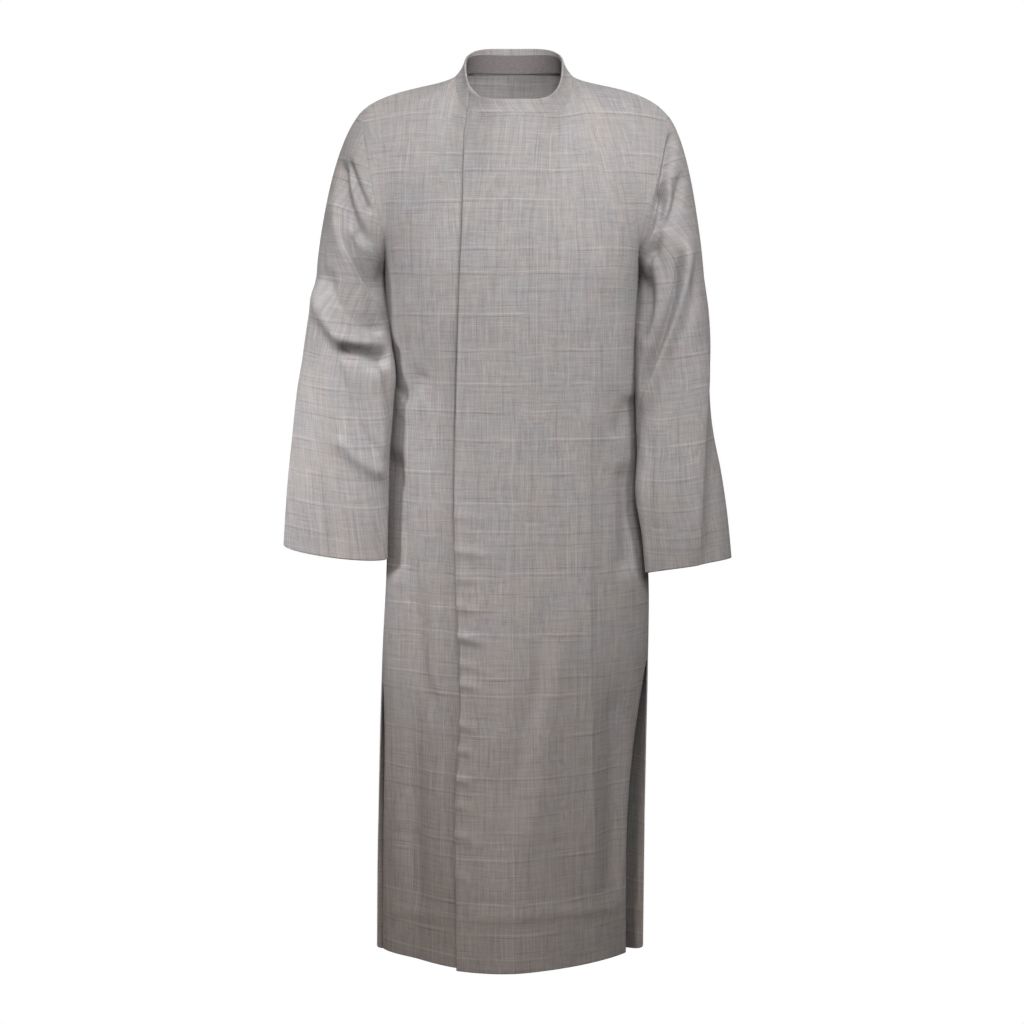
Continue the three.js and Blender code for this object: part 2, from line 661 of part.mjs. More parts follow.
// Side seams, down to the slits
const sewnRows = (arm) =>
  bodyLevels().filter((level) => level.z === undefined || level.z > SLIT_ROWS[arm][0].z).length;
const overSide = over.map(lastOf);
const underSide = column(under, 0);
const backLeft = column(back, 0);
const backRight = back.map(lastOf);
sew(overSide.slice(0, sewnRows(LEFT)), backLeft.slice(0, sewnRows(LEFT)));
sew(underSide.slice(0, sewnRows(RIGHT)), backRight.slice(0, sewnRows(RIGHT)));

// Shoulder seams
const shoulderCells = SHOULDER_COLUMNS + 1;
sew(over[0].slice(-shoulderCells).reverse(), back[0].slice(0, shoulderCells));
sew(under[0].slice(0, shoulderCells).reverse(), back[0].slice(-shoulderCells));

// Armholes
sew(armholeCells(overSide, backLeft), sleeves[LEFT][0]);
sew(armholeCells(backRight, underSide), sleeves[RIGHT][0]);
meet(overSide[0], backLeft[0], sleeves[LEFT][0][YOKE_ROWS]);
meet(underSide[0], backRight[0], sleeves[RIGHT][0][YOKE_ROWS]);

// Neck seam
const neckEdge = [
  ...over[0].slice(0, OVER_NECK_COLUMNS),
  ...back[0].slice(SHOULDER_COLUMNS, -shoulderCells),
  ...under[0].slice(SHOULDER_COLUMNS),
];
sew(neckEdge, lastOf(collarOuter));
const neckLeft = lastOf(collarOuter)[OVER_NECK_COLUMNS];
const neckRight = lastOf(collarOuter)[OVER_NECK_COLUMNS + BACK_NECK_COLUMNS];
meet(over[0][OVER_NECK_COLUMNS], back[0][SHOULDER_COLUMNS], neckLeft);
meet(under[0][SHOULDER_COLUMNS], back[0][SHOULDER_COLUMNS + BACK_NECK_COLUMNS], neckRight);

// Gaps at the seams
trim(overSide, column(over, over[0].length - 2));
trim(backRight, column(back, back[0].length - 2));
trim(backLeft, column(back, 1));
trim(underSide, column(under, 1));
for (const grid of [over, back, under, sleeves[LEFT], sleeves[RIGHT]]) trim(grid[0], grid[1]);
trim(lastOf(collarOuter), collarOuter[COLLAR_ROWS - 1]);

const robe = new THREE.Group();
function addPiece(name, grid, thick, color, closed = false) {
  const mesh = new THREE.Mesh(wallGeometry(grid, thick, closed), clothMaterial(color));
  mesh.name = name;
  robe.add(mesh);
}
addPiece("back", back, WALL, 0x8f8a86);
addPiece("front_over", over, WALL, 0x9a9591);
addPiece("front_under", under, WALL, 0x96918d);
addPiece("sleeve_left", sleeves[LEFT], WALL, 0x9a9591, true);
addPiece("sleeve_right", sleeves[RIGHT], WALL, 0x9a9591, true);
addPiece("collar_outer", collarOuter, WALL, 0x9a9591);
addPiece("collar_inner", collarInner, COLLAR_PLY, 0x6f6a68);

export default robe;
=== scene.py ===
import math

import bpy
import numpy as np
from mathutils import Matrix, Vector


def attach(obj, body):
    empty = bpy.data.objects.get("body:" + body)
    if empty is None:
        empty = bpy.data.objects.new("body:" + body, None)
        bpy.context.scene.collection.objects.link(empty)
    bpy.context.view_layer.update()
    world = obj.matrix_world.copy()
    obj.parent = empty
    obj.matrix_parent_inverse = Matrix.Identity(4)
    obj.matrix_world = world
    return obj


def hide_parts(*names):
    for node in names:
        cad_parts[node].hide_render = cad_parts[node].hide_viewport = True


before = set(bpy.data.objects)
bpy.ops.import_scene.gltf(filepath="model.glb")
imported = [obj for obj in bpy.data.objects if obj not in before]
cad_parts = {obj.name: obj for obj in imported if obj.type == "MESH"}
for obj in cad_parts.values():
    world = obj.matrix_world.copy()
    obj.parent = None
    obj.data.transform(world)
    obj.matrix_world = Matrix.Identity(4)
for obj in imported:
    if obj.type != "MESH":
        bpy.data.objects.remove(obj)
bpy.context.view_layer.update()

# Studio. A plain pale floor well below the hem and a white surround. One large soft light stands in
# front of and above the chest, with weaker ones above, at each sleeve, low in front of the skirt and
# behind the back.
FLOOR_Z = -1.78
FLOOR_HALF = 30
floor_mesh = bpy.data.meshes.new("floor")
corners = [(x * FLOOR_HALF, y * FLOOR_HALF, FLOOR_Z) for x, y in ((-1, -1), (1, -1), (1, 1), (-1, 1))]
floor_mesh.from_pydata(corners, [], [(0, 1, 2, 3)])
floor = bpy.data.objects.new("floor", floor_mesh)
bpy.context.scene.collection.objects.link(floor)
floor_material = bpy.data.materials.new("floor_paper")
floor_material.use_nodes = True
tree = floor_material.node_tree
paper = tree.nodes["Principled BSDF"]
paper.inputs["Base Color"].default_value = (0.26, 0.22, 0.19, 1)
paper.inputs["Roughness"].default_value = 0.9
paper.inputs["Specular IOR Level"].default_value = 0.1
white = tree.nodes.new("ShaderNodeEmission")
ray = tree.nodes.new("ShaderNodeLightPath")
either = tree.nodes.new("ShaderNodeMixShader")
tree.links.new(ray.outputs["Is Camera Ray"], either.inputs["Fac"])
tree.links.new(paper.outputs["BSDF"], either.inputs[1])
tree.links.new(white.outputs["Emission"], either.inputs[2])
tree.links.new(either.outputs["Shader"], tree.nodes["Material Output"].inputs["Surface"])
floor_mesh.materials.append(floor_material)

world = bpy.data.worlds.new("surround")
bpy.context.scene.world = world
world.use_nodes = True
tree = world.node_tree
tree.nodes.clear()
seen = tree.nodes.new("ShaderNodeBackground")
seen.inputs["Color"].default_value = (1, 1, 1, 1)
seen.inputs["Strength"].default_value = 1.0
fill = tree.nodes.new("ShaderNodeBackground")
fill.inputs["Color"].default_value = (1, 0.93, 0.86, 1)
fill.inputs["Strength"].default_value = 0.13
ray = tree.nodes.new("ShaderNodeLightPath")
either = tree.nodes.new("ShaderNodeMixShader")
tree.links.new(ray.outputs["Is Camera Ray"], either.inputs["Fac"])
tree.links.new(fill.outputs["Background"], either.inputs[1])
tree.links.new(seen.outputs["Background"], either.inputs[2])
tree.links.new(either.outputs["Shader"], tree.nodes.new("ShaderNodeOutputWorld").inputs["Surface"])
bpy.context.scene.view_settings.view_transform = "Standard"


def softbox(name, place, aim, size, watts, spread, colour=(1, 1, 1)):
    """A rectangular lamp, size wide and high in metres, that shines spread degrees wide."""
    light = bpy.data.lights.new(name, "AREA")
    light.color = colour
    light.spread = math.radians(spread)
    light.shape = "RECTANGLE"
    light.size, light.size_y = size
    light.energy = watts
    lamp = bpy.data.objects.new(name, light)
    lamp.location = place
    lamp.rotation_euler = (Vector(aim) - Vector(place)).to_track_quat("-Z", "Y").to_euler()
    bpy.context.scene.collection.objects.link(lamp)


softbox("key", (0.25, -1.9, 1.05), aim=(0, 0, 0.03), size=(0.8, 0.6), watts=5.5, spread=65)
softbox("top", (-0.75, -1.3, 1.2), aim=(-0.15, 0, -0.2), size=(0.6, 0.5), watts=2.1, spread=96)
softbox("left", (-1.65, -0.95, 0.1), aim=(-0.43, 0, -0.5), size=(0.4, 0.4), watts=0.95, spread=28)
softbox("right", (1.35, -1.5, 0.15), aim=(0.24, 0, -0.5), size=(0.5, 0.7), watts=1.5, spread=60)
softbox("low", (-0.8, -2.2, -0.95), (-0.1, 0, -1.2), (0.5, 0.4), watts=0.5, spread=36, colour=(1, 0.85, 0.72))
softbox("behind", (-0.5, 2.3, 0.5), aim=(0, 0, -0.5), size=(0.9, 0.9), watts=4.5, spread=70)

CAMERA_PLACE = Vector((-0.003, -3.2, -0.327))
CAMERA_AIM = Vector((-0.003, 0, -0.645))
camera = bpy.data.objects.new("camera", bpy.data.cameras.new("camera"))
camera.data.sensor_width = 36
camera.data.lens = 75.37
camera.location = CAMERA_PLACE
camera.rotation_euler = (CAMERA_AIM - CAMERA_PLACE).to_track_quat("-Z", "Y").to_euler()
bpy.context.scene.collection.objects.link(camera)
bpy.context.scene.camera = camera

# Back. One piece of light wool suiting in a slubbed melange weave, sewn to the fronts at the
# shoulders and sides, open below as side slits, and hemmed by hand. Sizes in millimetres.
CLOTH = 1.3
TURNED = 2.4  # where the cloth is folded over inside an edge
FRONT, BACK = -1, 1
LEFT, RIGHT = 1, -1  # the wearer's
CHEST_Z = -290
HEM_Z = -1313
BACK_HEM_DROP = 18
SIDE_Y = 5
NECK_HALF = 86
NECK_SIDE_Y = 10
NECK_REACH = {FRONT: 107, BACK: 60}
NECK_DROP = {FRONT: 64, BACK: -7}
NECK_ROUND = 2
NECK_SHARE = 0.27
BODY_ROWS = np.array(
    [
        (-290, 192, 185, 130, 118, -0.3),
        (-350, 188, 181, 129, 118, -0.3),
        (-430, 179, 179, 125, 114, -0.25),
        (-530, 186, 182, 122, 110, -0.2),
        (-620, 191, 190, 122, 112, -0.1),
        (-730, 192, 202, 125, 118, 0.1),
        (-860, 199, 203, 130, 124, 0.4),
        (-1000, 204, 201, 134, 128, 0.75),
        (-1160, 208, 199, 137, 130, 0.9),
        (-1313, 210, 198, 139, 131, 0.92),
    ],
    dtype=[(name, float) for name in ("z", "right", "left", "front", "back", "lens")],
)
SLIT_ROWS = {
    LEFT: np.array(
        [(-855, 0, 0), (-900, 8, 8), (-1000, 21, 20), (-1100, 28, 29), (-1200, 29, 33), (-1313, 28, 36)],
        dtype=[(name, float) for name in ("z", "inward", "forward")],
    ),
    RIGHT: np.array(
        [(-880, 0, 0), (-930, 5, 6), (-1000, 8, 9), (-1150, 9, 13), (-1313, 10, 16)],
        dtype=[(name, float) for name in ("z", "inward", "forward")],
    ),
}
BACK_FLARE = 0.35
SHOULDER = {LEFT: (226, 5, -57, 44, 0.16), RIGHT: (226, 5, -53, 36, 0.18)}  # x, y, z, crest and round
SHOULDER_BOW = {"tip": 36, "neck": 26, "neck_z": -17}
ARMHOLE_LOW = (-11, 90, 50)  # x, forward and z from the underarm
ARMHOLE_HIGH = (-11, 80, -93)  # from the shoulder tip
ARMHOLE_BACK_SHARE = 0.85
ARMHOLE_PULL = 0.3
DOME = {"sides": 0.95, FRONT: 0.2, BACK: 0.45, "narrow": 4, "lean": 1.6}
YOKE_ROWS = 96
SKIRT_ROWS = 260
HIP_SPREAD = {"share": 0.55, "from": 560, "to": 840}  # levels below the neck

FOLD_COLUMNS = [
    (name, float) for name in ("x0", "z0", "x1", "z1", "x2", "z2", "x3", "z3", "high", "wide_a", "wide_b")
]
BACK_FOLDS = np.array(
    [
        (118, -330, 110, -500, 120, -660, 130, -840, -5, 24, 24),
        (-116, -330, -106, -520, -112, -700, -126, -870, -5, 26, 22),
        (40, -660, 50, -860, 56, -1080, 60, -1330, 4, 26, 22),
        (-58, -720, -64, -900, -70, -1120, -74, -1330, 4, 22, 28),
        (150, -880, 147, -1020, 148, -1180, 150, -1330, -4, 22, 22),
        (-152, -900, -156, -1050, -154, -1200, -152, -1330, -4, 22, 22),
        (-120, -452, -60, -470, 30, -474, 110, -456, -3, 16, 22),
        (-100, -505, -30, -520, 50, -522, 96, -508, 2.2, 14, 20),
        (-150, -200, -120, -262, -104, -330, -98, -420, -2.5, 14, 16),
        (150, -205, 124, -270, 106, -340, 100, -430, -2.5, 14, 16),
        (6, -240, 2, -420, 8, -620, 14, -800, 1.5, 22, 26),
        (-20, -900, -10, -1040, 2, -1180, 6, -1330, -2.5, 18, 24),
        (92, -980, 98, -1090, 96, -1200, 100, -1330, 2.5, 14, 18),
        (-108, -1010, -112, -1110, -110, -1220, -114, -1330, 2.5, 16, 14),
    ],
    dtype=FOLD_COLUMNS,
)


def smooth(x, low, high):
    t = np.clip((x - low) / (high - low), 0, 1)
    return t * t * (3 - 2 * t)


def stack(x, y, z):
    return np.stack(np.broadcast_arrays(x, y, z), axis=-1).astype(float)


def length(p):
    return np.linalg.norm(p, axis=-1, keepdims=True)


def row_at(table, z):
    """A table's columns at any level, each running smoothly through its rows."""
    level = table["z"]
    i = np.clip(np.searchsorted(-level, -np.asarray(z, float), side="left") - 1, 0, len(level) - 2)
    span = level[i + 1] - level[i]
    t = np.clip((z - level[i]) / span, 0, 1)
    found = {}
    for name in table.dtype.names[1:]:
        value = table[name]
        slope = np.gradient(value)
        slope[1:-1] = (value[2:] - value[:-2]) / (level[2:] - level[:-2])
        slope[0] = (value[1] - value[0]) / (level[1] - level[0])
        slope[-1] = (value[-1] - value[-2]) / (level[-1] - level[-2])
        rise = value[i + 1] - value[i]
        bend = (1 - t) * (slope[i] * span - rise) - t * (slope[i + 1] * span - rise)
        found[name] = value[i] + rise * t + t * (1 - t) * bend
    return found


def bulge(share, lens):
    """Outline of a half section: 0 at its edges, never curling back there, and 1 in the middle."""
    s = np.sin(np.pi * share)
    full, least = (1 - lens) * s + lens * s * s, 0.35 * s * s
    return (full + least + np.sqrt((full - least) ** 2 + (0.04 * s) ** 2)) / 2


def bezier(a, b, c, d, t):
    t = np.asarray(t, float)[..., None]
    return a * (1 - t) ** 3 + 3 * b * t * (1 - t) ** 2 + 3 * c * t**2 * (1 - t) + d * t**3


def slit_at(side, arm, z):
    top = SLIT_ROWS[arm]["z"][0]
    row = row_at(SLIT_ROWS[arm], z)
    shut = (side == BACK) | (z > top)
    return np.where(shut, 0, row["inward"]), np.where(shut, 0, row["forward"])


def skirt_point(side, u, z):
    """Body below the underarm: u runs from the wearer's right side seam (0) to the left one (1)."""
    row = row_at(BODY_ROWS, z)
    left_in, left_forward = slit_at(side, LEFT, z)
    right_in, right_forward = slit_at(side, RIGHT, z)
    along = (1 - np.cos(np.pi * u)) / 2
    low_x, high_x = right_in - row["right"], row["left"] - left_in
    hang = right_forward + (left_forward - right_forward) * along
    depth = row["front"] if side == FRONT else row["back"]
    flare = BACK_FLARE * smooth(-z, -SLIT_ROWS[RIGHT]["z"][0], -HEM_Z) if side == BACK else 0
    y = SIDE_Y + side * (hang + (depth - hang) * bulge(u, row["lens"] + flare))
    drop = BACK_HEM_DROP * np.clip((CHEST_Z - z) / (CHEST_Z - HEM_Z), 0, 1) ** 2 if side == BACK else 0
    return stack(low_x + (high_x - low_x) * along, y, z - drop * np.sin(np.pi * u))


def shoulder_seam(arm, share):
    x, y, z, crest, _ = SHOULDER[arm]
    return bezier(
        np.array((arm * x, y, z)),
        np.array((arm * (x - SHOULDER_BOW["tip"]), y, z + crest)),
        np.array((arm * (NECK_HALF + SHOULDER_BOW["neck"]), NECK_SIDE_Y, SHOULDER_BOW["neck_z"])),
        np.array((arm * NECK_HALF, NECK_SIDE_Y, 0)),
        share,
    )


def neck_angle(u):
    return np.pi * np.clip((u - NECK_SHARE) / (1 - 2 * NECK_SHARE), 0, 1)


def neck_seam(side, u):
    s = np.sin(neck_angle(u))
    fall = NECK_DROP[side] * (1 - (1 - s) ** NECK_ROUND)
    return stack(-NECK_HALF * np.cos(neck_angle(u)), NECK_SIDE_Y + side * NECK_REACH[side] * s, -fall)


def top_seam(side, u):
    over_right = shoulder_seam(RIGHT, np.clip(u / NECK_SHARE, 0, 1))
    over_left = shoulder_seam(LEFT, np.clip((1 - u) / NECK_SHARE, 0, 1))
    u = u[..., None]
    beyond = np.where(u > 1 - NECK_SHARE, over_left, neck_seam(side, u[..., 0]))
    return np.where(u < NECK_SHARE, over_right, beyond)


def armhole(side, arm, v):
    """Armhole seam, from the underarm (0) to the shoulder tip (1)."""
    low = skirt_point(side, np.float64(arm == LEFT), np.float64(CHEST_Z))
    x, y, z = SHOULDER[arm][:3]
    share = 1 if side == FRONT else ARMHOLE_BACK_SHARE
    return bezier(
        low,
        low + np.array((arm * ARMHOLE_LOW[0], side * share * ARMHOLE_LOW[1], ARMHOLE_LOW[2])),
        np.array((arm * (x + ARMHOLE_HIGH[0]), y + side * share * ARMHOLE_HIGH[1], z + ARMHOLE_HIGH[2])),
        np.array((arm * x, y, z)),
        v,
    )


def dome_point(side, u, v):
    chest = skirt_point(side, u, np.float64(CHEST_Z))
    seam = top_seam(side, u)
    dome = DOME["sides"] + (DOME[side] - DOME["sides"]) * np.sin(np.pi * u) ** DOME["narrow"]
    rise = v + (np.sin(v * np.pi / 2) - v) * dome
    reach = v ** DOME["lean"] + (1 - np.cos(v * np.pi / 2) - v ** DOME["lean"]) * dome
    share = np.stack((reach, reach, rise), axis=-1)
    return chest + (seam - chest) * share


def yoke_point(side, u, v):
    """Body above the underarm: columns that dome over to the seams, drawn to the armholes."""
    p = dome_point(side, u, v)
    for arm in (LEFT, RIGHT):
        edge = np.full_like(v, arm == LEFT)
        pull = np.clip(1 - np.abs(u - edge) / ARMHOLE_PULL, 0, 1) ** 2
        p = p + (armhole(side, arm, v) - dome_point(side, edge, v)) * pull[..., None]
    return p


def run_along(points, axis):
    """Distance of each point of a grid from its first row (axis 0) or first column (axis 1)."""
    step = length(np.diff(points, axis=axis))[..., 0]
    return np.concatenate((np.zeros_like(step.take([0], axis)), np.cumsum(step, axis=axis)), axis=axis)


def panel_points(side, columns):
    """A body panel's points: columns(v, z) gives the u of each column, row by row."""
    v = np.linspace(1, 0, YOKE_ROWS, endpoint=False)[:, None]
    z = np.linspace(CHEST_Z, HEM_Z, SKIRT_ROWS + 1)[:, None]
    yoke_u, skirt_u = columns(v, None), columns(None, z)
    yoke = yoke_point(side, yoke_u, np.broadcast_to(v, yoke_u.shape))
    return even_columns(np.concatenate((yoke, skirt_point(side, skirt_u, np.broadcast_to(z, skirt_u.shape)))))


def even_columns(points):
    """Spreads the columns evenly along each row below the hips, where they crowd at the slits."""
    run = run_along(points, 1)
    spread = HIP_SPREAD["share"] * smooth(-points[:, :1, 2], HIP_SPREAD["from"], HIP_SPREAD["to"])
    aim = run + (run[:, -1:] * np.linspace(0, 1, points.shape[1]) - run) * spread
    moved = [[np.interp(aim[i], run[i], row[:, k]) for k in range(3)] for i, row in enumerate(points)]
    return np.stack(moved).swapaxes(1, 2)


def normals_of(points, closed=False):
    across = np.roll(points, -1, 1) - np.roll(points, 1, 1) if closed else np.gradient(points, axis=1)
    out = np.cross(across, -np.gradient(points, axis=0))
    return out / np.maximum(length(out), 1e-9)


def fold_height(folds, x, z):
    """Height of all folds of a table. A fold's line runs through four points, down or to +X, and
    falls off by wide_a on its +X or upper side and by wide_b on the other one."""
    total = np.zeros_like(x)
    s = np.linspace(0, 1, 17)
    for f in folds:
        line = [
            f[axis + "0"] * (-4.5 * (s - 1 / 3) * (s - 2 / 3) * (s - 1))
            + f[axis + "1"] * (13.5 * s * (s - 2 / 3) * (s - 1))
            + f[axis + "2"] * (-13.5 * s * (s - 1 / 3) * (s - 1))
            + f[axis + "3"] * (4.5 * s * (s - 1 / 3) * (s - 2 / 3))
            for axis in "xz"
        ]
        reach = 3 * max(f["wide_a"], f["wide_b"])
        near = (x > line[0].min() - reach) & (x < line[0].max() + reach)
        near &= (z > line[1].min() - reach) & (z < line[1].max() + reach)
        px, pz = x[near], z[near]
        best = np.full(px.shape, 1e9)
        side = np.zeros(px.shape)
        share = np.zeros(px.shape)
        for k in range(len(s) - 1):
            ax, az = line[0][k], line[1][k]
            dx, dz = line[0][k + 1] - ax, line[1][k + 1] - az
            t = np.clip(((px - ax) * dx + (pz - az) * dz) / (dx * dx + dz * dz), 0, 1)
            away = np.hypot(px - ax - t * dx, pz - az - t * dz)
            closer = away < best
            best = np.where(closer, away, best)
            side = np.where(closer, dx * (pz - az) - dz * (px - ax), side)
            share = np.where(closer, s[k] + t * (s[k + 1] - s[k]), share)
        width = f["wide_b"] + (f["wide_a"] - f["wide_b"]) * smooth(side / np.hypot(dx, dz), -2, 2)
        fade = smooth(share, 0, 0.18) * (1 - smooth(share, 0.82, 1))
        total[near] += f["high"] * np.exp(-((best / width) ** 2)) * fade
    return total


def sway(x, z, phase, high):
    """Slow, shallow unevenness of hanging cloth, longer downwards than across."""
    return high * (
        np.sin(x / 37 + 1.3 * np.sin(z / 210 + phase) + phase)
        + 0.7 * np.sin(x / 21 - z / 330 + 1.7 * phase)
        + 0.6 * np.sin(z / 95 + 0.8 * np.sin(x / 60 + phase))
    )


EDGE_LINES = (0.5, 1.1, 1.9)


def add_line(points, side, at):
    """Lines of points close beside an edge, where the cloth rolls over. at holds their distances."""
    points = points if side in ("top", "bottom") else points.swapaxes(0, 1)
    points = points if side in ("top", "left") else points[::-1]
    step = points[1] - points[0]
    long = np.maximum(length(step), 1e-6)
    share = [points[0] + step * (d / np.maximum(long, 1.25 * at[-1])) for d in at]
    points = np.concatenate((points[:1], np.stack(share), points[1:]))
    points = points if side in ("top", "left") else points[::-1]
    return points if side in ("top", "bottom") else points.swapaxes(0, 1)


EDGE_ROLL = {"seam": 0.6, "pressed": 0.1, "fold": 0.9, "hem": 0.8}
TURNED_IN = {"fold": 28, "hem": 66}
SEAM_TURNING = 12
SEAM_DEPTH = 3.5
LEAST_DEPTH = 0.7
RIM_ROUND = 0.45


def runs(points, closed):
    """Distances down the columns and across the rows of a grid, its closing step with them."""
    wrapped = np.concatenate((points, points[:, :1]), axis=1) if closed else points
    return run_along(points, 0), run_along(wrapped, 1)


def edge_profile(points, edges, closed, thick):
    """How far the outer points sink where the cloth rolls over, and how deep it is there."""
    rows, columns = points.shape[:2]
    down, across = runs(points, closed)
    to_edge = {
        "top": down,
        "bottom": down[-1] - down,
        "left": across[:, :columns],
        "right": across[:, -1:] - across[:, :columns],
    }
    sunk = np.zeros((rows, columns))
    depth = np.full((rows, columns), float(thick))
    for side, kind in edges.items():
        s = to_edge[side]
        roll = EDGE_ROLL[kind]
        sunk = np.maximum(sunk, roll * (1 - np.sqrt(1 - np.clip(1 - s / (1.9 * roll), 0, 1) ** 2)))
        if kind == "pressed":
            depth = np.maximum(depth, 1.15 * thick)
        elif kind == "seam":
            sewn = (side == "top") | (side == "bottom") | (points[..., 2] > SLIT_ROWS[LEFT]["z"][0])
            turning = np.where(s < SEAM_TURNING, 1.8 * thick, thick)
            depth = np.maximum(depth, np.where((s < 0.1) & sewn, SEAM_DEPTH, turning))
        else:
            turned = 1 - smooth(s, TURNED_IN[kind] - 2, TURNED_IN[kind] + 2)
            depth = np.maximum(depth, thick + (TURNED - CLOTH) * turned)
    return sunk, depth


def weave_place(plain, level_row, closed):
    """Where each point lies in the weave, in metres. The weft runs along level_row."""
    along, warp = runs(plain, closed)
    if closed:
        weft = along - along[level_row]
        weft = np.concatenate((weft, weft[:, :1]), axis=1)
    else:
        columns = plain.shape[1]
        middle = slice(columns // 2, columns // 2 + 1)
        warp = warp - warp[:, middle] + plain[:, middle, 0]
        level = plain[..., 2]
        weft = along.mean(1, keepdims=True) - along[level_row].mean() - (level - level.mean(1, keepdims=True))
    return np.stack((warp, -weft), axis=-1) / 1000


def edge_loops(rows, columns, closed):
    """The rows and columns met on the way round each open edge of a grid, back to the start."""
    if closed:
        j = np.arange(columns + 1)
        return [(np.zeros_like(j), j), (np.full_like(j, rows - 1), j[::-1])]
    i, j = np.arange(rows), np.arange(columns)
    i_ring = (0 * j[1:], i[:-1], 0 * j[1:] + rows - 1, i[:0:-1], [0])
    j_ring = (j[:-1], 0 * i[1:] + columns - 1, j[:0:-1], 0 * i[1:], [0])
    return [(np.concatenate(i_ring), np.concatenate(j_ring))]


def shell_faces(outer, inner, uv, closed, thick):
    """Vertices in metres, quads and their places in the weave: both sides and a rounded rim."""
    rows, columns = outer.shape[:2]
    grid = rows * columns
    vertices = [outer.reshape(-1, 3), inner.reshape(-1, 3)]
    i, j = np.meshgrid(np.arange(rows - 1), np.arange(uv.shape[1] - 1), indexing="ij")
    i, j = i.ravel(), j.ravel()
    ring = ((i, j), (i + 1, j), (i + 1, j + 1), (i, j + 1))
    face = np.stack([a * columns + b % columns for a, b in ring], axis=-1)
    face_uv = np.stack([uv[a, b] for a, b in ring], axis=1)
    quads = [face, face[:, ::-1] + grid]
    corners = [face_uv, face_uv[:, ::-1]]
    base = 2 * grid
    for a, b in edge_loops(rows, columns, closed):
        spot = a * columns + b % columns
        here, there = spot[:-1], spot[1:]
        rim_out, rim_in = vertices[0][here], vertices[1][here]
        around = np.roll(rim_out, -1, 0) - np.roll(rim_out, 1, 0)
        away = np.cross(rim_out - rim_in, around)
        away = away / np.maximum(length(away), 1e-9)
        wide = np.minimum(length(rim_out - rim_in), thick)
        vertices.append((rim_out + rim_in) / 2 + away * RIM_ROUND * wide)
        k = np.arange(len(here))
        mid, mid_next = base + k, base + (k + 1) % len(here)
        quads.append(np.stack((here, there, mid_next, mid), axis=-1))
        quads.append(np.stack((mid, mid_next, there + grid, here + grid), axis=-1))
        uv_here, uv_there = uv[a[:-1], b[:-1]], uv[a[1:], b[1:]]
        corners += 2 * [np.stack((uv_here, uv_there, uv_there, uv_here), axis=1)]
        base += len(here)
    return np.concatenate(vertices) / 1000, np.concatenate(quads), np.concatenate(corners)


def cloth_piece(name, points, plain, edges, level_row=0, closed=False, thick=CLOTH):
    """A thin shell from a grid of outer points in millimetres, woven over the same grid as it is
    without its creases, which is plain. edges names what each side is:
    "seam" rolls in and has its turning behind it, "pressed" is such a seam that hardly shows,
    "fold" is turned over and "hem" is turned up."""
    for side in edges:
        points, plain = add_line(points, side, EDGE_LINES), add_line(plain, side, EDGE_LINES)
    out = normals_of(points, closed)
    sunk, depth = edge_profile(points, edges, closed, thick)
    outer = points - out * sunk[..., None]
    inner = points - out * np.maximum(depth, sunk + LEAST_DEPTH)[..., None]
    uv = weave_place(plain, level_row + (len(EDGE_LINES) if "top" in edges else 0), closed)
    vertices, quads, corners = shell_faces(outer, inner, uv, closed, thick)
    mesh = bpy.data.meshes.new(name)
    mesh.vertices.add(len(vertices))
    mesh.vertices.foreach_set("co", vertices.astype(np.float32).ravel())
    mesh.loops.add(quads.size)
    mesh.loops.foreach_set("vertex_index", quads.astype(np.int32).ravel())
    mesh.polygons.add(len(quads))
    mesh.polygons.foreach_set("loop_start", np.arange(0, quads.size, 4, dtype=np.int32))
    mesh.polygons.foreach_set("use_smooth", np.ones(len(quads), bool))
    mesh.update(calc_edges=True)
    rows, columns = points.shape[:2]
    flat = np.zeros(len(vertices), bool)
    flat[:columns] = edges.get("top") == "pressed"
    flat[(rows - 1) * columns : rows * columns] = edges.get("bottom") == "pressed"
    ends = np.empty(2 * len(mesh.edges), np.int32)
    mesh.edges.foreach_get("vertices", ends)
    sharp = mesh.attributes.new("sharp_edge", "BOOLEAN", "EDGE")
    sharp.data.foreach_set("value", flat[ends].reshape(-1, 2).all(1))
    layer = mesh.uv_layers.new(name="cloth")
    layer.data.foreach_set("uv", corners.astype(np.float32).ravel())
    mesh.validate()
    piece = bpy.data.objects.new(name, mesh)
    bpy.context.scene.collection.objects.link(piece)
    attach(piece, "root")
    return piece


def put(tree, kind, inputs=(), **settings):
    """Adds a node, sets what it is and fills its inputs with sockets or values."""
    made = tree.nodes.new(kind)
    for key, value in settings.items():
        setattr(made, key, value)
    for key, value in dict(inputs).items():
        if isinstance(value, bpy.types.NodeSocket):
            tree.links.new(value, made.inputs[key])
        else:
            made.inputs[key].default_value = value
    return made


def maths(tree, operation, *values):
    return put(tree, "ShaderNodeMath", dict(enumerate(values)), operation=operation).outputs[0]


def vector_maths(tree, operation, vector, other):
    """A vector sum, product or scaling of a socket by a socket or a value."""
    key = "Scale" if operation == "SCALE" else 1
    return put(tree, "ShaderNodeVectorMath", {0: vector, key: other}, operation=operation).outputs[0]


def ramp(tree, value, low, high, start=0.0, end=1.0):
    """Spreads low to high over start to end, held beyond them."""
    spread = {"Value": value, "From Min": low, "From Max": high, "To Min": start, "To Max": end}
    return put(tree, "ShaderNodeMapRange", spread).outputs[0]


def mixed(tree, share, a, b):
    colours = {"Factor": share, "A": a, "B": b}
    return put(tree, "ShaderNodeMix", colours, data_type="RGBA").outputs["Result"]


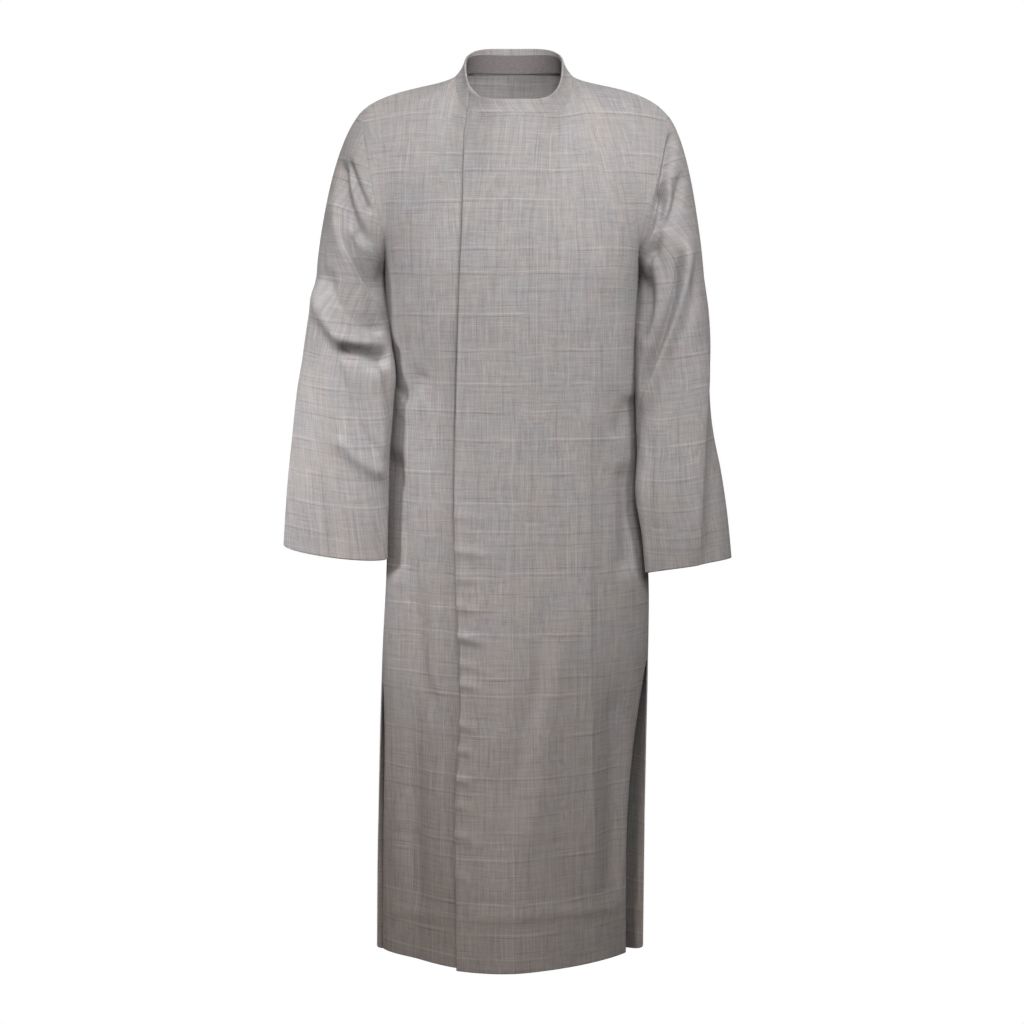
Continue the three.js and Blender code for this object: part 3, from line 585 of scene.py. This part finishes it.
def cloth_group(name):
    """A group that turns a place in the cloth into a colour and a height, still to be filled."""
    tree = bpy.data.node_groups.new(name, "ShaderNodeTree")
    tree.interface.new_socket("Cloth", in_out="INPUT", socket_type="NodeSocketVector")
    tree.interface.new_socket("Color", in_out="OUTPUT", socket_type="NodeSocketColor")
    tree.interface.new_socket("Height", in_out="OUTPUT", socket_type="NodeSocketFloat")
    return tree, tree.nodes.new("NodeGroupInput"), tree.nodes.new("NodeGroupOutput")


WARM_GREY = (0.395, 0.368, 0.36, 1)
COOL_GREY = (0.375, 0.362, 0.37, 1)
THREAD_DRIFT = 7  # how far threads wander from straight


def slub_weave():
    """Slubbed melange weave from the cloth's own coordinates in metres: colour and height."""
    tree, source, made = cloth_group("slub_weave")
    mm = vector_maths(tree, "SCALE", source.outputs["Cloth"], 1000)
    drift = put(tree, "ShaderNodeTexNoise", {"Vector": mm, "Scale": 0.011, "Detail": 1.0})
    drift = vector_maths(tree, "SUBTRACT", drift.outputs["Color"], (0.5, 0.5, 0.5))
    bent = vector_maths(tree, "ADD", mm, vector_maths(tree, "SCALE", drift, THREAD_DRIFT))
    axis = put(tree, "ShaderNodeSeparateXYZ", {0: bent})

    def streaks(long, wide, turned, detail, shift):
        """Noise drawn out along one thread direction, about 0."""
        scale = (1 / wide, 1 / long, 1) if turned else (1 / long, 1 / wide, 1)
        at = vector_maths(tree, "ADD", vector_maths(tree, "MULTIPLY", bent, scale), (shift, shift, 0))
        grain = {"Vector": at, "Scale": 1, "Detail": detail, "Roughness": 0.6}
        return maths(tree, "SUBTRACT", put(tree, "ShaderNodeTexNoise", grain).outputs[0], 0.5)

    def slubs(turned, pitch, thick, run, shift, beside=0.0, uneven=1.0):
        """Thin uneven threads at a pitch that come and go, as a mask. beside moves them over."""
        along, over = (axis.outputs[letter] for letter in ("YX" if turned else "XY"))
        place = maths(tree, "ADD", maths(tree, "DIVIDE", over, pitch), shift + beside / pitch)
        rows = {"W": place, "Scale": 1, "Randomness": uneven}
        cell = put(tree, "ShaderNodeTexVoronoi", rows, voronoi_dimensions="1D")
        line = ramp(tree, cell.outputs["Distance"], 0.25 * thick / pitch, thick / pitch, 1, 0)
        spot = {
            "X": maths(tree, "DIVIDE", along, run),
            "Y": maths(tree, "MULTIPLY", cell.outputs["W"], 3.7),
            "Z": beside,
        }
        where = put(tree, "ShaderNodeCombineXYZ", spot)
        noise = put(tree, "ShaderNodeTexNoise", {"Vector": where.outputs[0], "Scale": 1, "Detail": 2})
        return maths(tree, "MULTIPLY", line, ramp(tree, noise.outputs[0], 0.4, 0.6))

    parts = (  # threads and how much they lighten the cloth
        (streaks(44, 1.6, False, 2, 0), 0.48),
        (streaks(56, 1.7, True, 2, 7), 0.66),
        (streaks(90, 6, False, 1, 13), 0.12),
        (streaks(160, 8, True, 1, 19), 0.22),
        (streaks(2.2, 2.2, False, 1, 29), 0.2),
        (slubs(False, 48, 1.4, 110, 0.3, 0, 0.6), 0.25),
        (slubs(False, 48, 1.4, 80, 0.3, 4, 0.6), -0.2),
        (slubs(False, 21, 1.1, 60, 5.1), -0.13),
        (slubs(False, 26, 1.1, 50, 8.4), 0.13),
        (slubs(True, 19, 1.1, 110, 9.7), 0.17),
        (slubs(True, 23, 1.1, 80, 2.9), -0.15),
    )
    tone, height = 1.0, 0.0
    for value, strength in parts:
        tone = maths(tree, "MULTIPLY_ADD", value, strength, tone)
        height = maths(tree, "MULTIPLY_ADD", value, strength, height)
    tint = put(tree, "ShaderNodeTexNoise", {"Vector": bent, "Scale": 0.016, "Detail": 2})
    ground = mixed(tree, ramp(tree, tint.outputs[0], 0.35, 0.65), WARM_GREY, COOL_GREY)
    tree.links.new(vector_maths(tree, "SCALE", ground, tone), made.inputs["Color"])
    tree.links.new(height, made.inputs["Height"])
    return tree


THREAD_HEIGHT = 0.0006


def cloth_material(name, group, roughness, sheen, relief):
    material = bpy.data.materials.new(name)
    material.use_nodes = True
    tree = material.node_tree
    shader = tree.nodes["Principled BSDF"]
    place = put(tree, "ShaderNodeUVMap", uv_map="cloth")
    woven = put(tree, "ShaderNodeGroup", node_tree=group)
    tree.links.new(place.outputs["UV"], woven.inputs["Cloth"])
    tree.links.new(woven.outputs["Color"], shader.inputs["Base Color"])
    threads = {"Height": woven.outputs["Height"], "Strength": relief, "Distance": THREAD_HEIGHT}
    bump = put(tree, "ShaderNodeBump", threads)
    tree.links.new(bump.outputs["Normal"], shader.inputs["Normal"])
    shader.inputs["Roughness"].default_value = roughness
    shader.inputs["Specular IOR Level"].default_value = 0.25
    shader.inputs["Sheen Weight"].default_value = sheen
    shader.inputs["Sheen Roughness"].default_value = 0.45
    return material


suiting = cloth_material("suiting", slub_weave(), roughness=0.82, sheen=0.12, relief=0.5)


def from_edge(points, side):
    """Distance of each point from one edge of its grid, along the grid."""
    axis = 0 if side in ("top", "bottom") else 1
    run = run_along(points, axis)
    return run if side in ("top", "left") else run.take([-1], axis) - run


def edge_fade(points, sides, wide):
    """1 over a grid, falling to 0 at the named sides over a width in millimetres."""
    return np.prod([smooth(from_edge(points, side), 0, wide) for side in sides], axis=0)


SHOULDER_COLUMNS = 34
NECK_COLUMNS = 58
SIDE_SWELL = {"high": 5, "from_seam": 17, "half": 9}  # of the back beside the seam, under the arm
left_shoulder = np.linspace(1, 1 - NECK_SHARE, SHOULDER_COLUMNS, endpoint=False)
neck = np.linspace(1 - NECK_SHARE, NECK_SHARE, NECK_COLUMNS, endpoint=False)
across_back = np.concatenate((left_shoulder, neck, np.linspace(NECK_SHARE, 0, SHOULDER_COLUMNS + 1)))


def back_columns(v, z):
    return np.broadcast_to(across_back, (len(v if z is None else z), len(across_back)))


points = panel_points(BACK, back_columns)
out = normals_of(points)
x, z = points[..., 0], points[..., 2]
relief = fold_height(BACK_FOLDS, x, z) + sway(x, z, 0.6, 0.9)
relief *= edge_fade(points, ("top", "left", "right"), 30)
beside = np.minimum(from_edge(points, "left"), from_edge(points, "right"))
under_arm = smooth(-z, 285, 310) * (1 - smooth(-z, 640, 700))
swell = np.exp(-(((beside - SIDE_SWELL["from_seam"]) / SIDE_SWELL["half"]) ** 2))
relief += SIDE_SWELL["high"] * swell * under_arm
edges = {"top": "pressed", "left": "seam", "right": "seam", "bottom": "hem"}
robe_back = cloth_piece("robe_back", points + out * relief[..., None], points, edges, YOKE_ROWS)
robe_back.data.materials.append(suiting)
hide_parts("back")

# Left front. The front that laps over: a single piece from its folded edge to the left side
# seam, held down by a hidden fastening that puckers the cloth a little beside the edge.
LAP_RISE = 3
LAP_UNDER = 72
LAP_SETTLE = (4, 60)
OVER_CHEST_COLUMNS = 68
OVER_SHOULDER_COLUMNS = 33
LAP_EDGE = np.array(
    [(-24, -63), (-56, -66), (-106, -71), (-190, -73), (-314, -78), (-471, -83)]
    + [(-612, -86), (-740, -84), (-870, -78), (-960, -79), (-1060, -85), (-1313, -84)],
    dtype=[("z", float), ("x", float)],
)
OVER_FOLDS = np.array(
    [
        (110, -420, 107, -640, 112, -930, 122, -1260, 2.9, 11.4, 24.7),
        (113, -440, 110, -660, 113, -930, 120, -1240, 1.3, 3, 5),
        (146, -880, 150, -1000, 150, -1120, 146, -1250, -6.8, 17.1, 15.2),
        (45, -735, 38, -880, 4, -1000, -21, -1190, -4.4, 16.1, 19),
        (75, -750, 56, -870, 36, -1010, 23, -1170, 3.7, 20.9, 14.2),
        (142, -530, 154, -512, 163, -490, 170, -465, -3.8, 14, 14),
        (160, -560, 168, -620, 168, -680, 164, -740, -9.5, 16, 15),
        (150, -330, 160, -400, 164, -440, 168, -500, 3.4, 13.3, 17.1),
        (30, -100, 60, -140, 84, -200, 92, -260, -2, 20.9, 19),
        (-80, -1236, 0, -1228, 90, -1230, 180, -1240, 2.4, 11.4, 9.5),
    ],
    dtype=FOLD_COLUMNS,
)
PUCKERS = np.array(  # level, reach from the edge, height, half width and fall over the reach
    [
        (-640, 53, 2.3, 8.1, 6),
        (-690, 67, 3.2, 8.1, 10),
        (-731, 48, 2.6, 7.2, 4),
        (-772, 41, 3, 7.2, 6),
        (-816, 48, 5.3, 7.2, 9),
        (-857, 41, 3, 6.3, 5),
        (-886, 46, 3.4, 6.3, 8),
        (-946, 36, 3.4, 7.2, 6),
        (-984, 31, 3.2, 6.3, 3),
        (-1027, 34, 3.4, 7.2, 5),
        (-1066, 31, 2.7, 7.2, 2),
        (-1110, 36, 3.2, 7.2, 4),
        (-1172, 31, 1.9, 8.1, 3),
    ],
    dtype=[(name, float) for name in ("z", "reach", "high", "half", "fall")],
)


def lap_column(v, z, beyond):
    """The front's column at a distance from the lap's edge, found by halving."""
    level = v if z is None else z
    low, high = np.full(level.shape, NECK_SHARE / 2), np.full(level.shape, 1 - NECK_SHARE)
    for _ in range(30):
        u = (low + high) / 2
        p = yoke_point(FRONT, u, v) if z is None else skirt_point(FRONT, u, z)
        short = p[..., 0] < row_at(LAP_EDGE, p[..., 2])["x"] + beyond
        low, high = np.where(short, u, low), np.where(short, high, u)
    return (low + high) / 2


def over_columns(v, z):
    edge = lap_column(v, z, 0)
    chest = edge + (1 - NECK_SHARE - edge) * np.linspace(0, 1, OVER_CHEST_COLUMNS, endpoint=False)
    shoulder = np.linspace(1 - NECK_SHARE, 1, OVER_SHOULDER_COLUMNS)
    return np.concatenate((chest, np.broadcast_to(shoulder, (len(edge), len(shoulder)))), axis=1)


def lap_rise(points):
    beyond = points[..., 0] - row_at(LAP_EDGE, points[..., 2])["x"] - LAP_UNDER
    return LAP_RISE * (1 - smooth(beyond, *LAP_SETTLE))


points = panel_points(FRONT, over_columns)
out = normals_of(points)
x, z = points[..., 0], points[..., 2]
relief = (fold_height(OVER_FOLDS, x, z) + sway(x, z, 2.1, 0.55)) * edge_fade(points, ("top", "right"), 30)
past = x - row_at(LAP_EDGE, z)["x"]
for p in PUCKERS:
    level = p["z"] - p["fall"] * past / p["reach"]
    fade = 1 - smooth(past, 0.25 * p["reach"], p["reach"])
    relief += p["high"] * np.exp(-(((z - level) / p["half"]) ** 2)) * fade
relief += lap_rise(points)
edges = {"top": "pressed", "right": "seam", "left": "fold", "bottom": "hem"}
front_over = cloth_piece("robe_front_over", points + out * relief[..., None], points, edges, YOKE_ROWS)
front_over.data.materials.append(suiting)
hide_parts("front_over")

# Right front. It lies beneath the lap as far as its own folded edge, and is sewn to the back
# and the right sleeve as the left front is on its side.
UNDER_FOLDS = np.array(
    [
        (-122, -700, -120, -770, -123, -840, -127, -920, 3.3, 10.4, 11.4),
        (-150, -720, -147, -820, -134, -885, -116, -960, -3.3, 9.5, 10.4),
        (-168, -870, -172, -980, -174, -1100, -176, -1230, 2.2, 11.4, 13.3),
        (-172, -474, -160, -464, -148, -450, -128, -428, -4, 15, 15),
        (-176, -500, -160, -492, -146, -484, -126, -470, 2.4, 15, 15),
        (-100, -620, -101, -800, -102, -1000, -106, -1200, -2.4, 11.4, 13.3),
        (-150, -980, -156, -1060, -154, -1160, -150, -1250, -3.8, 13.3, 15.2),
        (-180, -540, -174, -610, -172, -680, -176, -750, -9, 12, 19),
        (-205, -1252, -160, -1244, -120, -1240, -70, -1240, 1.8, 11.4, 9.5),
    ],
    dtype=FOLD_COLUMNS,
)
UNDER_SHOULDER_COLUMNS = 32
UNDER_CHEST_COLUMNS = 36
UNDER_FALL = 10  # how far it falls back from the lap, lower down
UNDER_DIP = 5  # and close beside the lap's edge


def under_lap(points):
    past = points[..., 0] - row_at(LAP_EDGE, points[..., 2])["x"]
    return smooth(past, -6, 1)


def under_columns(v, z):
    edge = lap_column(v, z, LAP_UNDER)
    shoulder = np.linspace(0, NECK_SHARE, UNDER_SHOULDER_COLUMNS, endpoint=False)
    chest = NECK_SHARE + (edge - NECK_SHARE) * np.linspace(0, 1, UNDER_CHEST_COLUMNS)
    return np.concatenate((np.broadcast_to(shoulder, (len(edge), len(shoulder))), chest), axis=1)


points = panel_points(FRONT, under_columns)
out = normals_of(points)
x, z = points[..., 0], points[..., 2]
hidden = smooth(x, -90, -70)  # flat beneath the lap
relief = (fold_height(UNDER_FOLDS, x, z) + sway(x, z, 4.4, 0.6)) * edge_fade(points, ("top", "left"), 30)
relief *= 1 - hidden
relief -= UNDER_FALL * smooth(x, -196, -150) * smooth(-z, 330, 520) * edge_fade(points, ("left",), 20)
relief -= UNDER_DIP * under_lap(points) * smooth(from_edge(points, "top"), 0, 9)
edges = {"top": "pressed", "left": "seam", "right": "fold", "bottom": "hem"}
front_under = cloth_piece("robe_front_under", points + out * relief[..., None], points, edges, YOKE_ROWS)
front_under.data.materials.append(suiting)
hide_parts("front_under")

# Sleeves. Each is one piece set into its armhole, with a seam below the arm and a turned-up
# cuff. The folds come from the arm hanging a little forwards, and differ from side to side.
CAP_ROWS = 52
ARM_ROWS = 170
CAP_LEAVE = {"low": (0.45, -0.9), "high": (0.7, -0.7), "side": 0.28, "share": 0.3}  # out and up
CAP_ARRIVE = (0.03, 0.42)
SLEEVE_LENS = 0.25
SLEEVE_COLUMNS = [
    (name, float) for name in ("z", "in_x", "in_y", "out_x", "out_y", "front", "back", "tilt", "sag")
]
SLEEVE_ROWS = {
    LEFT: np.array(
        [
            (-300, 187, -4, 281, 5, 72, 70, 16, 0),
            (-360, 183, -28, 286, 5, 64, 64, 16, 0),
            (-430, 182, -42, 288, 8, 54, 58, 16, 0),
            (-512, 185, -55, 294, 10, 48, 50, 17, 0),
            (-594, 186, -64, 308, 8, 43, 44, 19, 0),
            (-660, 197, -62, 318, 4, 40, 41, 18, 0),
            (-722, 203, -56, 325, 0, 38, 40, 16, -6),
        ],
        dtype=SLEEVE_COLUMNS,
    ),
    RIGHT: np.array(
        [
            (-300, 194, -4, 292, 5, 72, 70, 14, 0),
            (-360, 188, -30, 302, 5, 64, 62, 14, 0),
            (-425, 177, -53, 313, 8, 50, 54, 14, 0),
            (-470, 179, -55, 322, 10, 44, 48, 14, 0),
            (-540, 184, -55, 331, 8, 37, 40, 14, 1),
            (-620, 189, -50, 340, 4, 30, 33, 14, 3),
            (-702, 191, -44, 346, 0, 24, 26, 16, 6),
        ],
        dtype=SLEEVE_COLUMNS,
    ),
}
SLEEVE_FOLDS = {
    LEFT: np.array(
        [
            (234, -78, 226, -118, 214, -155, 203, -195, -13, 7, 8),
            (222, -170, 214, -205, 206, -240, 194, -280, -11.7, 7, 7),
            (213, -130, 222, -188, 203, -236, 176, -300, 9.8, 8.1, 7.2),
            (210, -152, 197, -208, 182, -262, 172, -345, -13.7, 8.1, 9),
            (250, -135, 240, -172, 229, -203, 214, -235, -6.8, 7.2, 7.2),
            (240, -240, 235, -325, 212, -398, 182, -490, -16, 5.4, 12),
            (250, -225, 238, -318, 212, -408, 180, -520, 16, 14, 5),
            (190, -285, 198, -325, 197, -362, 186, -395, -6, 8.1, 9.9),
            (197, -250, 211, -306, 205, -352, 178, -412, 5.2, 5.4, 7.2),
            (284, -360, 277, -509, 272, -620, 269, -760, 7, 7, 22),
            (304, -380, 298, -500, 294, -620, 292, -760, -5, 12, 12),
            (198, -510, 202, -570, 205, -640, 206, -720, -2.4, 7.2, 8.1),
            (262, -250, 262, -300, 254, -350, 240, -400, -3, 9, 10.8),
        ],
        dtype=FOLD_COLUMNS,
    ),
    RIGHT: np.array(
        [
            (-246, -118, -234, -150, -220, -180, -206, -206, -9, 5, 6),
            (-257, -116, -250, -162, -236, -204, -202, -258, -14, 7, 9),
            (-238, -226, -224, -256, -208, -284, -190, -318, -6, 11, 11),
            (-262, -160, -250, -226, -233, -281, -190, -372, 10, 6, 18),
            (-252, -196, -241, -238, -221, -286, -188, -345, -10, 8, 6),
            (-232, -270, -224, -288, -215, -306, -202, -328, -7, 5, 7),
            (-280, -270, -258, -332, -226, -366, -184, -378, -9, 12.6, 10.8),
            (-296, -300, -268, -370, -232, -389, -178, -394, 10.5, 12, 11),
            (-262, -400, -232, -408, -206, -414, -176, -418, -15, 11, 10),
            (-290, -330, -258, -420, -232, -500, -184, -572, -5.2, 6.3, 11.7),
            (-200, -418, -194, -466, -188, -518, -186, -580, 7.5, 4.5, 13.5),
            (-262, -520, -238, -550, -216, -568, -180, -592, 6.8, 9.9, 12.6),
            (-272, -520, -266, -590, -262, -650, -256, -720, -3.8, 9, 11.7),
            (-300, -420, -305, -500, -312, -600, -318, -700, 2.2, 12.6, 12.6),
        ],
        dtype=FOLD_COLUMNS,
    ),
}
SLEEVE_BACK_FOLDS = np.array(  # the same on both arms, with x away from the middle
    [
        (236, -150, 226, -215, 214, -275, 196, -330, -5, 10, 12),
        (258, -190, 247, -255, 230, -315, 204, -365, 5, 12, 10),
        (276, -320, 256, -365, 232, -392, 200, -402, -5, 12, 12),
        (290, -352, 262, -396, 232, -418, 198, -424, 5, 12, 10),
        (286, -430, 262, -452, 236, -462, 204, -462, -3.5, 10, 13),
        (254, -480, 262, -560, 266, -640, 268, -740, 2.5, 14, 16),
        (222, -470, 224, -540, 230, -620, 234, -740, -2.5, 12, 14),
    ],
    dtype=FOLD_COLUMNS,
)
CUFF_IN = {LEFT: 8, RIGHT: 3}  # how far the seam edge hangs in at the cuff
SLEEVE_SWELL = {"high": 6, "turn": 0.13, "half": 0.07}  # of its back beside the body, under the arm
SLEEVE_TURNS = np.concatenate((np.linspace(0, 1, 82, endpoint=False), np.linspace(1, 2, 54, endpoint=False)))


def arm_point(arm, turn, z):
    """A sleeve's section at a level of its arm, from the underarm edge (0) round by the front."""
    row = row_at(SLEEVE_ROWS[arm], z)
    front = turn <= 1
    half = np.where(front, turn, 2 - turn)
    along = (1 - np.cos(np.pi * half)) / 2
    chord_x, chord_y = row["out_x"] - row["in_x"], row["out_y"] - row["in_y"]
    wide = np.hypot(chord_x, chord_y)
    depth = np.where(front, row["front"], -row["back"]) * bulge(half, SLEEVE_LENS)
    x = row["in_x"] + chord_x * along + depth * chord_y / wide
    y = row["in_y"] + chord_y * along - depth * chord_x / wide
    level = z + row["tilt"] * (along - 0.5) - np.where(front, row["sag"] * np.sin(np.pi * half), 0)
    return stack(arm * x, y, level)


def cap_point(arm, turn, share):
    """The sleeve head, from the armhole out and down to the first section of the arm."""
    front = turn <= 1
    high = np.where(front, turn, 2 - turn)
    start = np.where(front[..., None], armhole(FRONT, arm, high), armhole(BACK, arm, high))
    end = arm_point(arm, turn, SLEEVE_ROWS[arm]["z"][0])
    long = length(end - start)
    out, up = (low + (top - low) * high for low, top in zip(CAP_LEAVE["low"], CAP_LEAVE["high"]))
    reach = CAP_LEAVE["share"] + (SHOULDER[arm][4] - CAP_LEAVE["share"]) * high
    side = np.where(front, FRONT, BACK) * np.sin(np.pi * high) * CAP_LEAVE["side"]
    leave = stack(arm * out, side, up)
    arrive = np.array((-arm * CAP_ARRIVE[0], 0, CAP_ARRIVE[1]))
    return bezier(start, start + leave * long * reach[..., None], end + arrive * long, end, share)


def sleeve_points(arm):
    turn = SLEEVE_TURNS if arm == LEFT else np.append(2.0, SLEEVE_TURNS[:0:-1])
    rows = SLEEVE_ROWS[arm]["z"]
    shares = np.linspace(0, 1, CAP_ROWS, endpoint=False)
    cap = [cap_point(arm, turn % 2, np.full(turn.shape, share)) for share in shares]
    arm_rows = [arm_point(arm, turn % 2, z) for z in np.linspace(rows[0], rows[-1], ARM_ROWS)]
    points = np.stack(cap + arm_rows)
    out = normals_of(points, closed=True)
    x, z = points[..., 0], points[..., 2]
    half = np.where(turn % 2 <= 1, turn % 2, 2 - turn % 2)
    front = fold_height(SLEEVE_FOLDS[arm], x, z)
    behind = fold_height(SLEEVE_BACK_FOLDS, arm * x, z)
    relief = np.where(turn % 2 <= 1, front, behind) * smooth(np.sin(np.pi * half), 0, 0.4)
    relief = relief + sway(x, z, 1.1 * arm + 3, 0.45)
    under_arm = smooth(-z, 275, 295) * (1 - smooth(-z, 345, 400))
    swell = np.exp(-(((half - SLEEVE_SWELL["turn"]) / SLEEVE_SWELL["half"]) ** 2))
    relief += SLEEVE_SWELL["high"] * swell * (turn % 2 > 1) * under_arm
    made = points + out * (relief * edge_fade(points, ("top",), 12))[..., None]
    made[..., 0] -= arm * CUFF_IN[arm] * smooth(-z, 540, 640) * (1 - smooth(half, 0.05, 0.45))
    return made, points


for arm, name, flat in ((LEFT, "sleeve_left", (0.37, 0.7)), (RIGHT, "sleeve_right", (0.38, 0.7))):
    edges = {"top": "seam", "bottom": "hem"}
    sleeve = cloth_piece("robe_" + name, *sleeve_points(arm), edges, CAP_ROWS, closed=True)
    sleeve.data.materials.append(suiting)
    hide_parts(name)

# Collar. A soft stand in two plies: the outer one of suiting, turned over at the top, and the
# inner one of a plain cloth painted darker as shade, that stops short of the top edge behind the neck.
COLLAR_TOP_HALF = 73
COLLAR_TOP_SIDE = (8, 20)
COLLAR_TOP_REACH = {FRONT: 98, BACK: 58}
COLLAR_TOP_DROP = {FRONT: 63, BACK: -25}
COLLAR_TOP_ROUND = 1.7
COLLAR_TURN = {"front": 0.06, "back": 0.24, "seam": 0.05}
COLLAR_HOLLOW = 2
COLLAR_ROWS = 16
COLLAR_COLUMNS = {"over": 60, "behind": 80, "beneath": 40}
COLLAR_DIP = 3  # of the part beneath the lap
INNER_PLY_START = 12
PLY_STEP = 2.2


def collar_top(side, u):
    s = np.sin(neck_angle(u))
    fall = COLLAR_TOP_DROP[side] * (1 - (1 - s) ** COLLAR_TOP_ROUND)
    side_y, side_z = COLLAR_TOP_SIDE
    x = -COLLAR_TOP_HALF * np.cos(neck_angle(u))
    return stack(x, side_y + side * COLLAR_TOP_REACH[side] * s, side_z - fall)


def seam_out(u):
    """Outward direction of the fronts at the neck seam."""
    top = np.ones_like(u)
    across = yoke_point(FRONT, u + 0.001, top) - yoke_point(FRONT, u - 0.001, top)
    out = np.cross(across, yoke_point(FRONT, u, top) - yoke_point(FRONT, u, top - 0.01))
    return out / length(out)


def collar_point(side, u, top_u, share):
    seam = neck_seam(side, u)
    p = seam + (collar_top(side, top_u) - seam) * share[..., None]
    hollow = COLLAR_HOLLOW * np.sin(np.pi * share) * np.abs(np.cos(neck_angle(u)))
    p[..., 0] -= np.sign(p[..., 0]) * hollow
    return p


top_v = np.array([[1.0]])
lap_u = lap_column(top_v, None, 0)[0, 0]
under_u = lap_column(top_v, None, LAP_UNDER)[0, 0]
lap_top_u = NECK_SHARE + math.acos(-LAP_EDGE["x"][0] / COLLAR_TOP_HALF) / math.pi * (1 - 2 * NECK_SHARE)
over_share = np.linspace(0, 1, COLLAR_COLUMNS["over"], endpoint=False)
over_u = lap_u + (1 - NECK_SHARE - lap_u) * over_share
over_top_u = lap_top_u + (1 - NECK_SHARE - lap_top_u) * over_share
behind_u = np.linspace(1 - NECK_SHARE, NECK_SHARE, COLLAR_COLUMNS["behind"], endpoint=False)
beneath_u = np.linspace(NECK_SHARE, under_u, COLLAR_COLUMNS["beneath"])
column_side = np.repeat((FRONT, BACK, FRONT), list(COLLAR_COLUMNS.values()))
column_u = np.concatenate((over_u, behind_u, beneath_u))
column_top_u = np.concatenate((over_top_u, behind_u, beneath_u))
column_lap = np.arange(len(column_u)) < COLLAR_COLUMNS["over"]


def collar_grid(top_share, low_share, chosen):
    share = top_share + (low_share - top_share) * np.linspace(0, 1, COLLAR_ROWS)[:, None]
    u, top_u = np.broadcast_to(column_u, share.shape), np.broadcast_to(column_top_u, share.shape)
    front, behind = collar_point(FRONT, u, top_u, share), collar_point(BACK, u, top_u, share)
    points = np.where((column_side == FRONT)[None, :, None], front, behind)[:, chosen]
    beneath = (column_side == FRONT) & ~column_lap
    dip = COLLAR_DIP * under_lap(points) * smooth(share[:, chosen], 0, 0.4) * beneath[chosen]
    from_front = seam_out(u[:, chosen]) * (1 - share[:, chosen, None]) ** 2 * column_lap[chosen, None] * 4
    out = normals_of(points) + from_front
    return points + out / length(out) * (lap_rise(points) * column_lap[chosen] - dip)[..., None]


everywhere = np.ones(len(column_u), bool)
points = collar_grid(np.ones(len(column_u)), 0.0, everywhere)
edges = {"top": "fold", "left": "fold", "right": "fold", "bottom": "pressed"}
collar_outer = cloth_piece("robe_collar_outer", points, points, edges, thick=1.9)
collar_outer.data.materials.append(suiting)
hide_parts("collar_outer")

# Painted shade: the inner ply's two greys are darker than the suiting to stand in for the shade inside the
# collar.
SHADED_LINING_DARK = (0.19, 0.172, 0.17, 1)
SHADED_LINING_MID = (0.245, 0.226, 0.224, 1)
shaded_lining_tree, source, made = cloth_group("plain_weave")
fine = vector_maths(shaded_lining_tree, "MULTIPLY", source.outputs["Cloth"], (180, 620, 1))
grain = put(shaded_lining_tree, "ShaderNodeTexNoise", {"Vector": fine, "Scale": 1, "Detail": 2})
threads = ramp(shaded_lining_tree, grain.outputs[0], 0.3, 0.7)
shaded_lining_tree.links.new(mixed(shaded_lining_tree, threads, SHADED_LINING_DARK, SHADED_LINING_MID), made.inputs["Color"])
shaded_lining_tree.links.new(threads, made.inputs["Height"])
shaded_lining = cloth_material("collar_lining", shaded_lining_tree, roughness=0.9, sheen=0.05, relief=0.3)

start = LAP_EDGE["x"][0] + LAP_UNDER + INNER_PLY_START
chosen = ~column_lap | (neck_seam(FRONT, column_u)[..., 0] > start)
behind_share = np.where(column_side == BACK, np.sin(neck_angle(column_u)), 0)
turn = COLLAR_TURN["front"] + (COLLAR_TURN["back"] - COLLAR_TURN["front"]) * behind_share
points = collar_grid(1 - turn, COLLAR_TURN["seam"], chosen)
points = points - normals_of(points) * PLY_STEP
collar_inner = cloth_piece("robe_collar_inner", points, points, edges, thick=0.9)
collar_inner.data.materials.append(shaded_lining)
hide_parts("collar_inner")
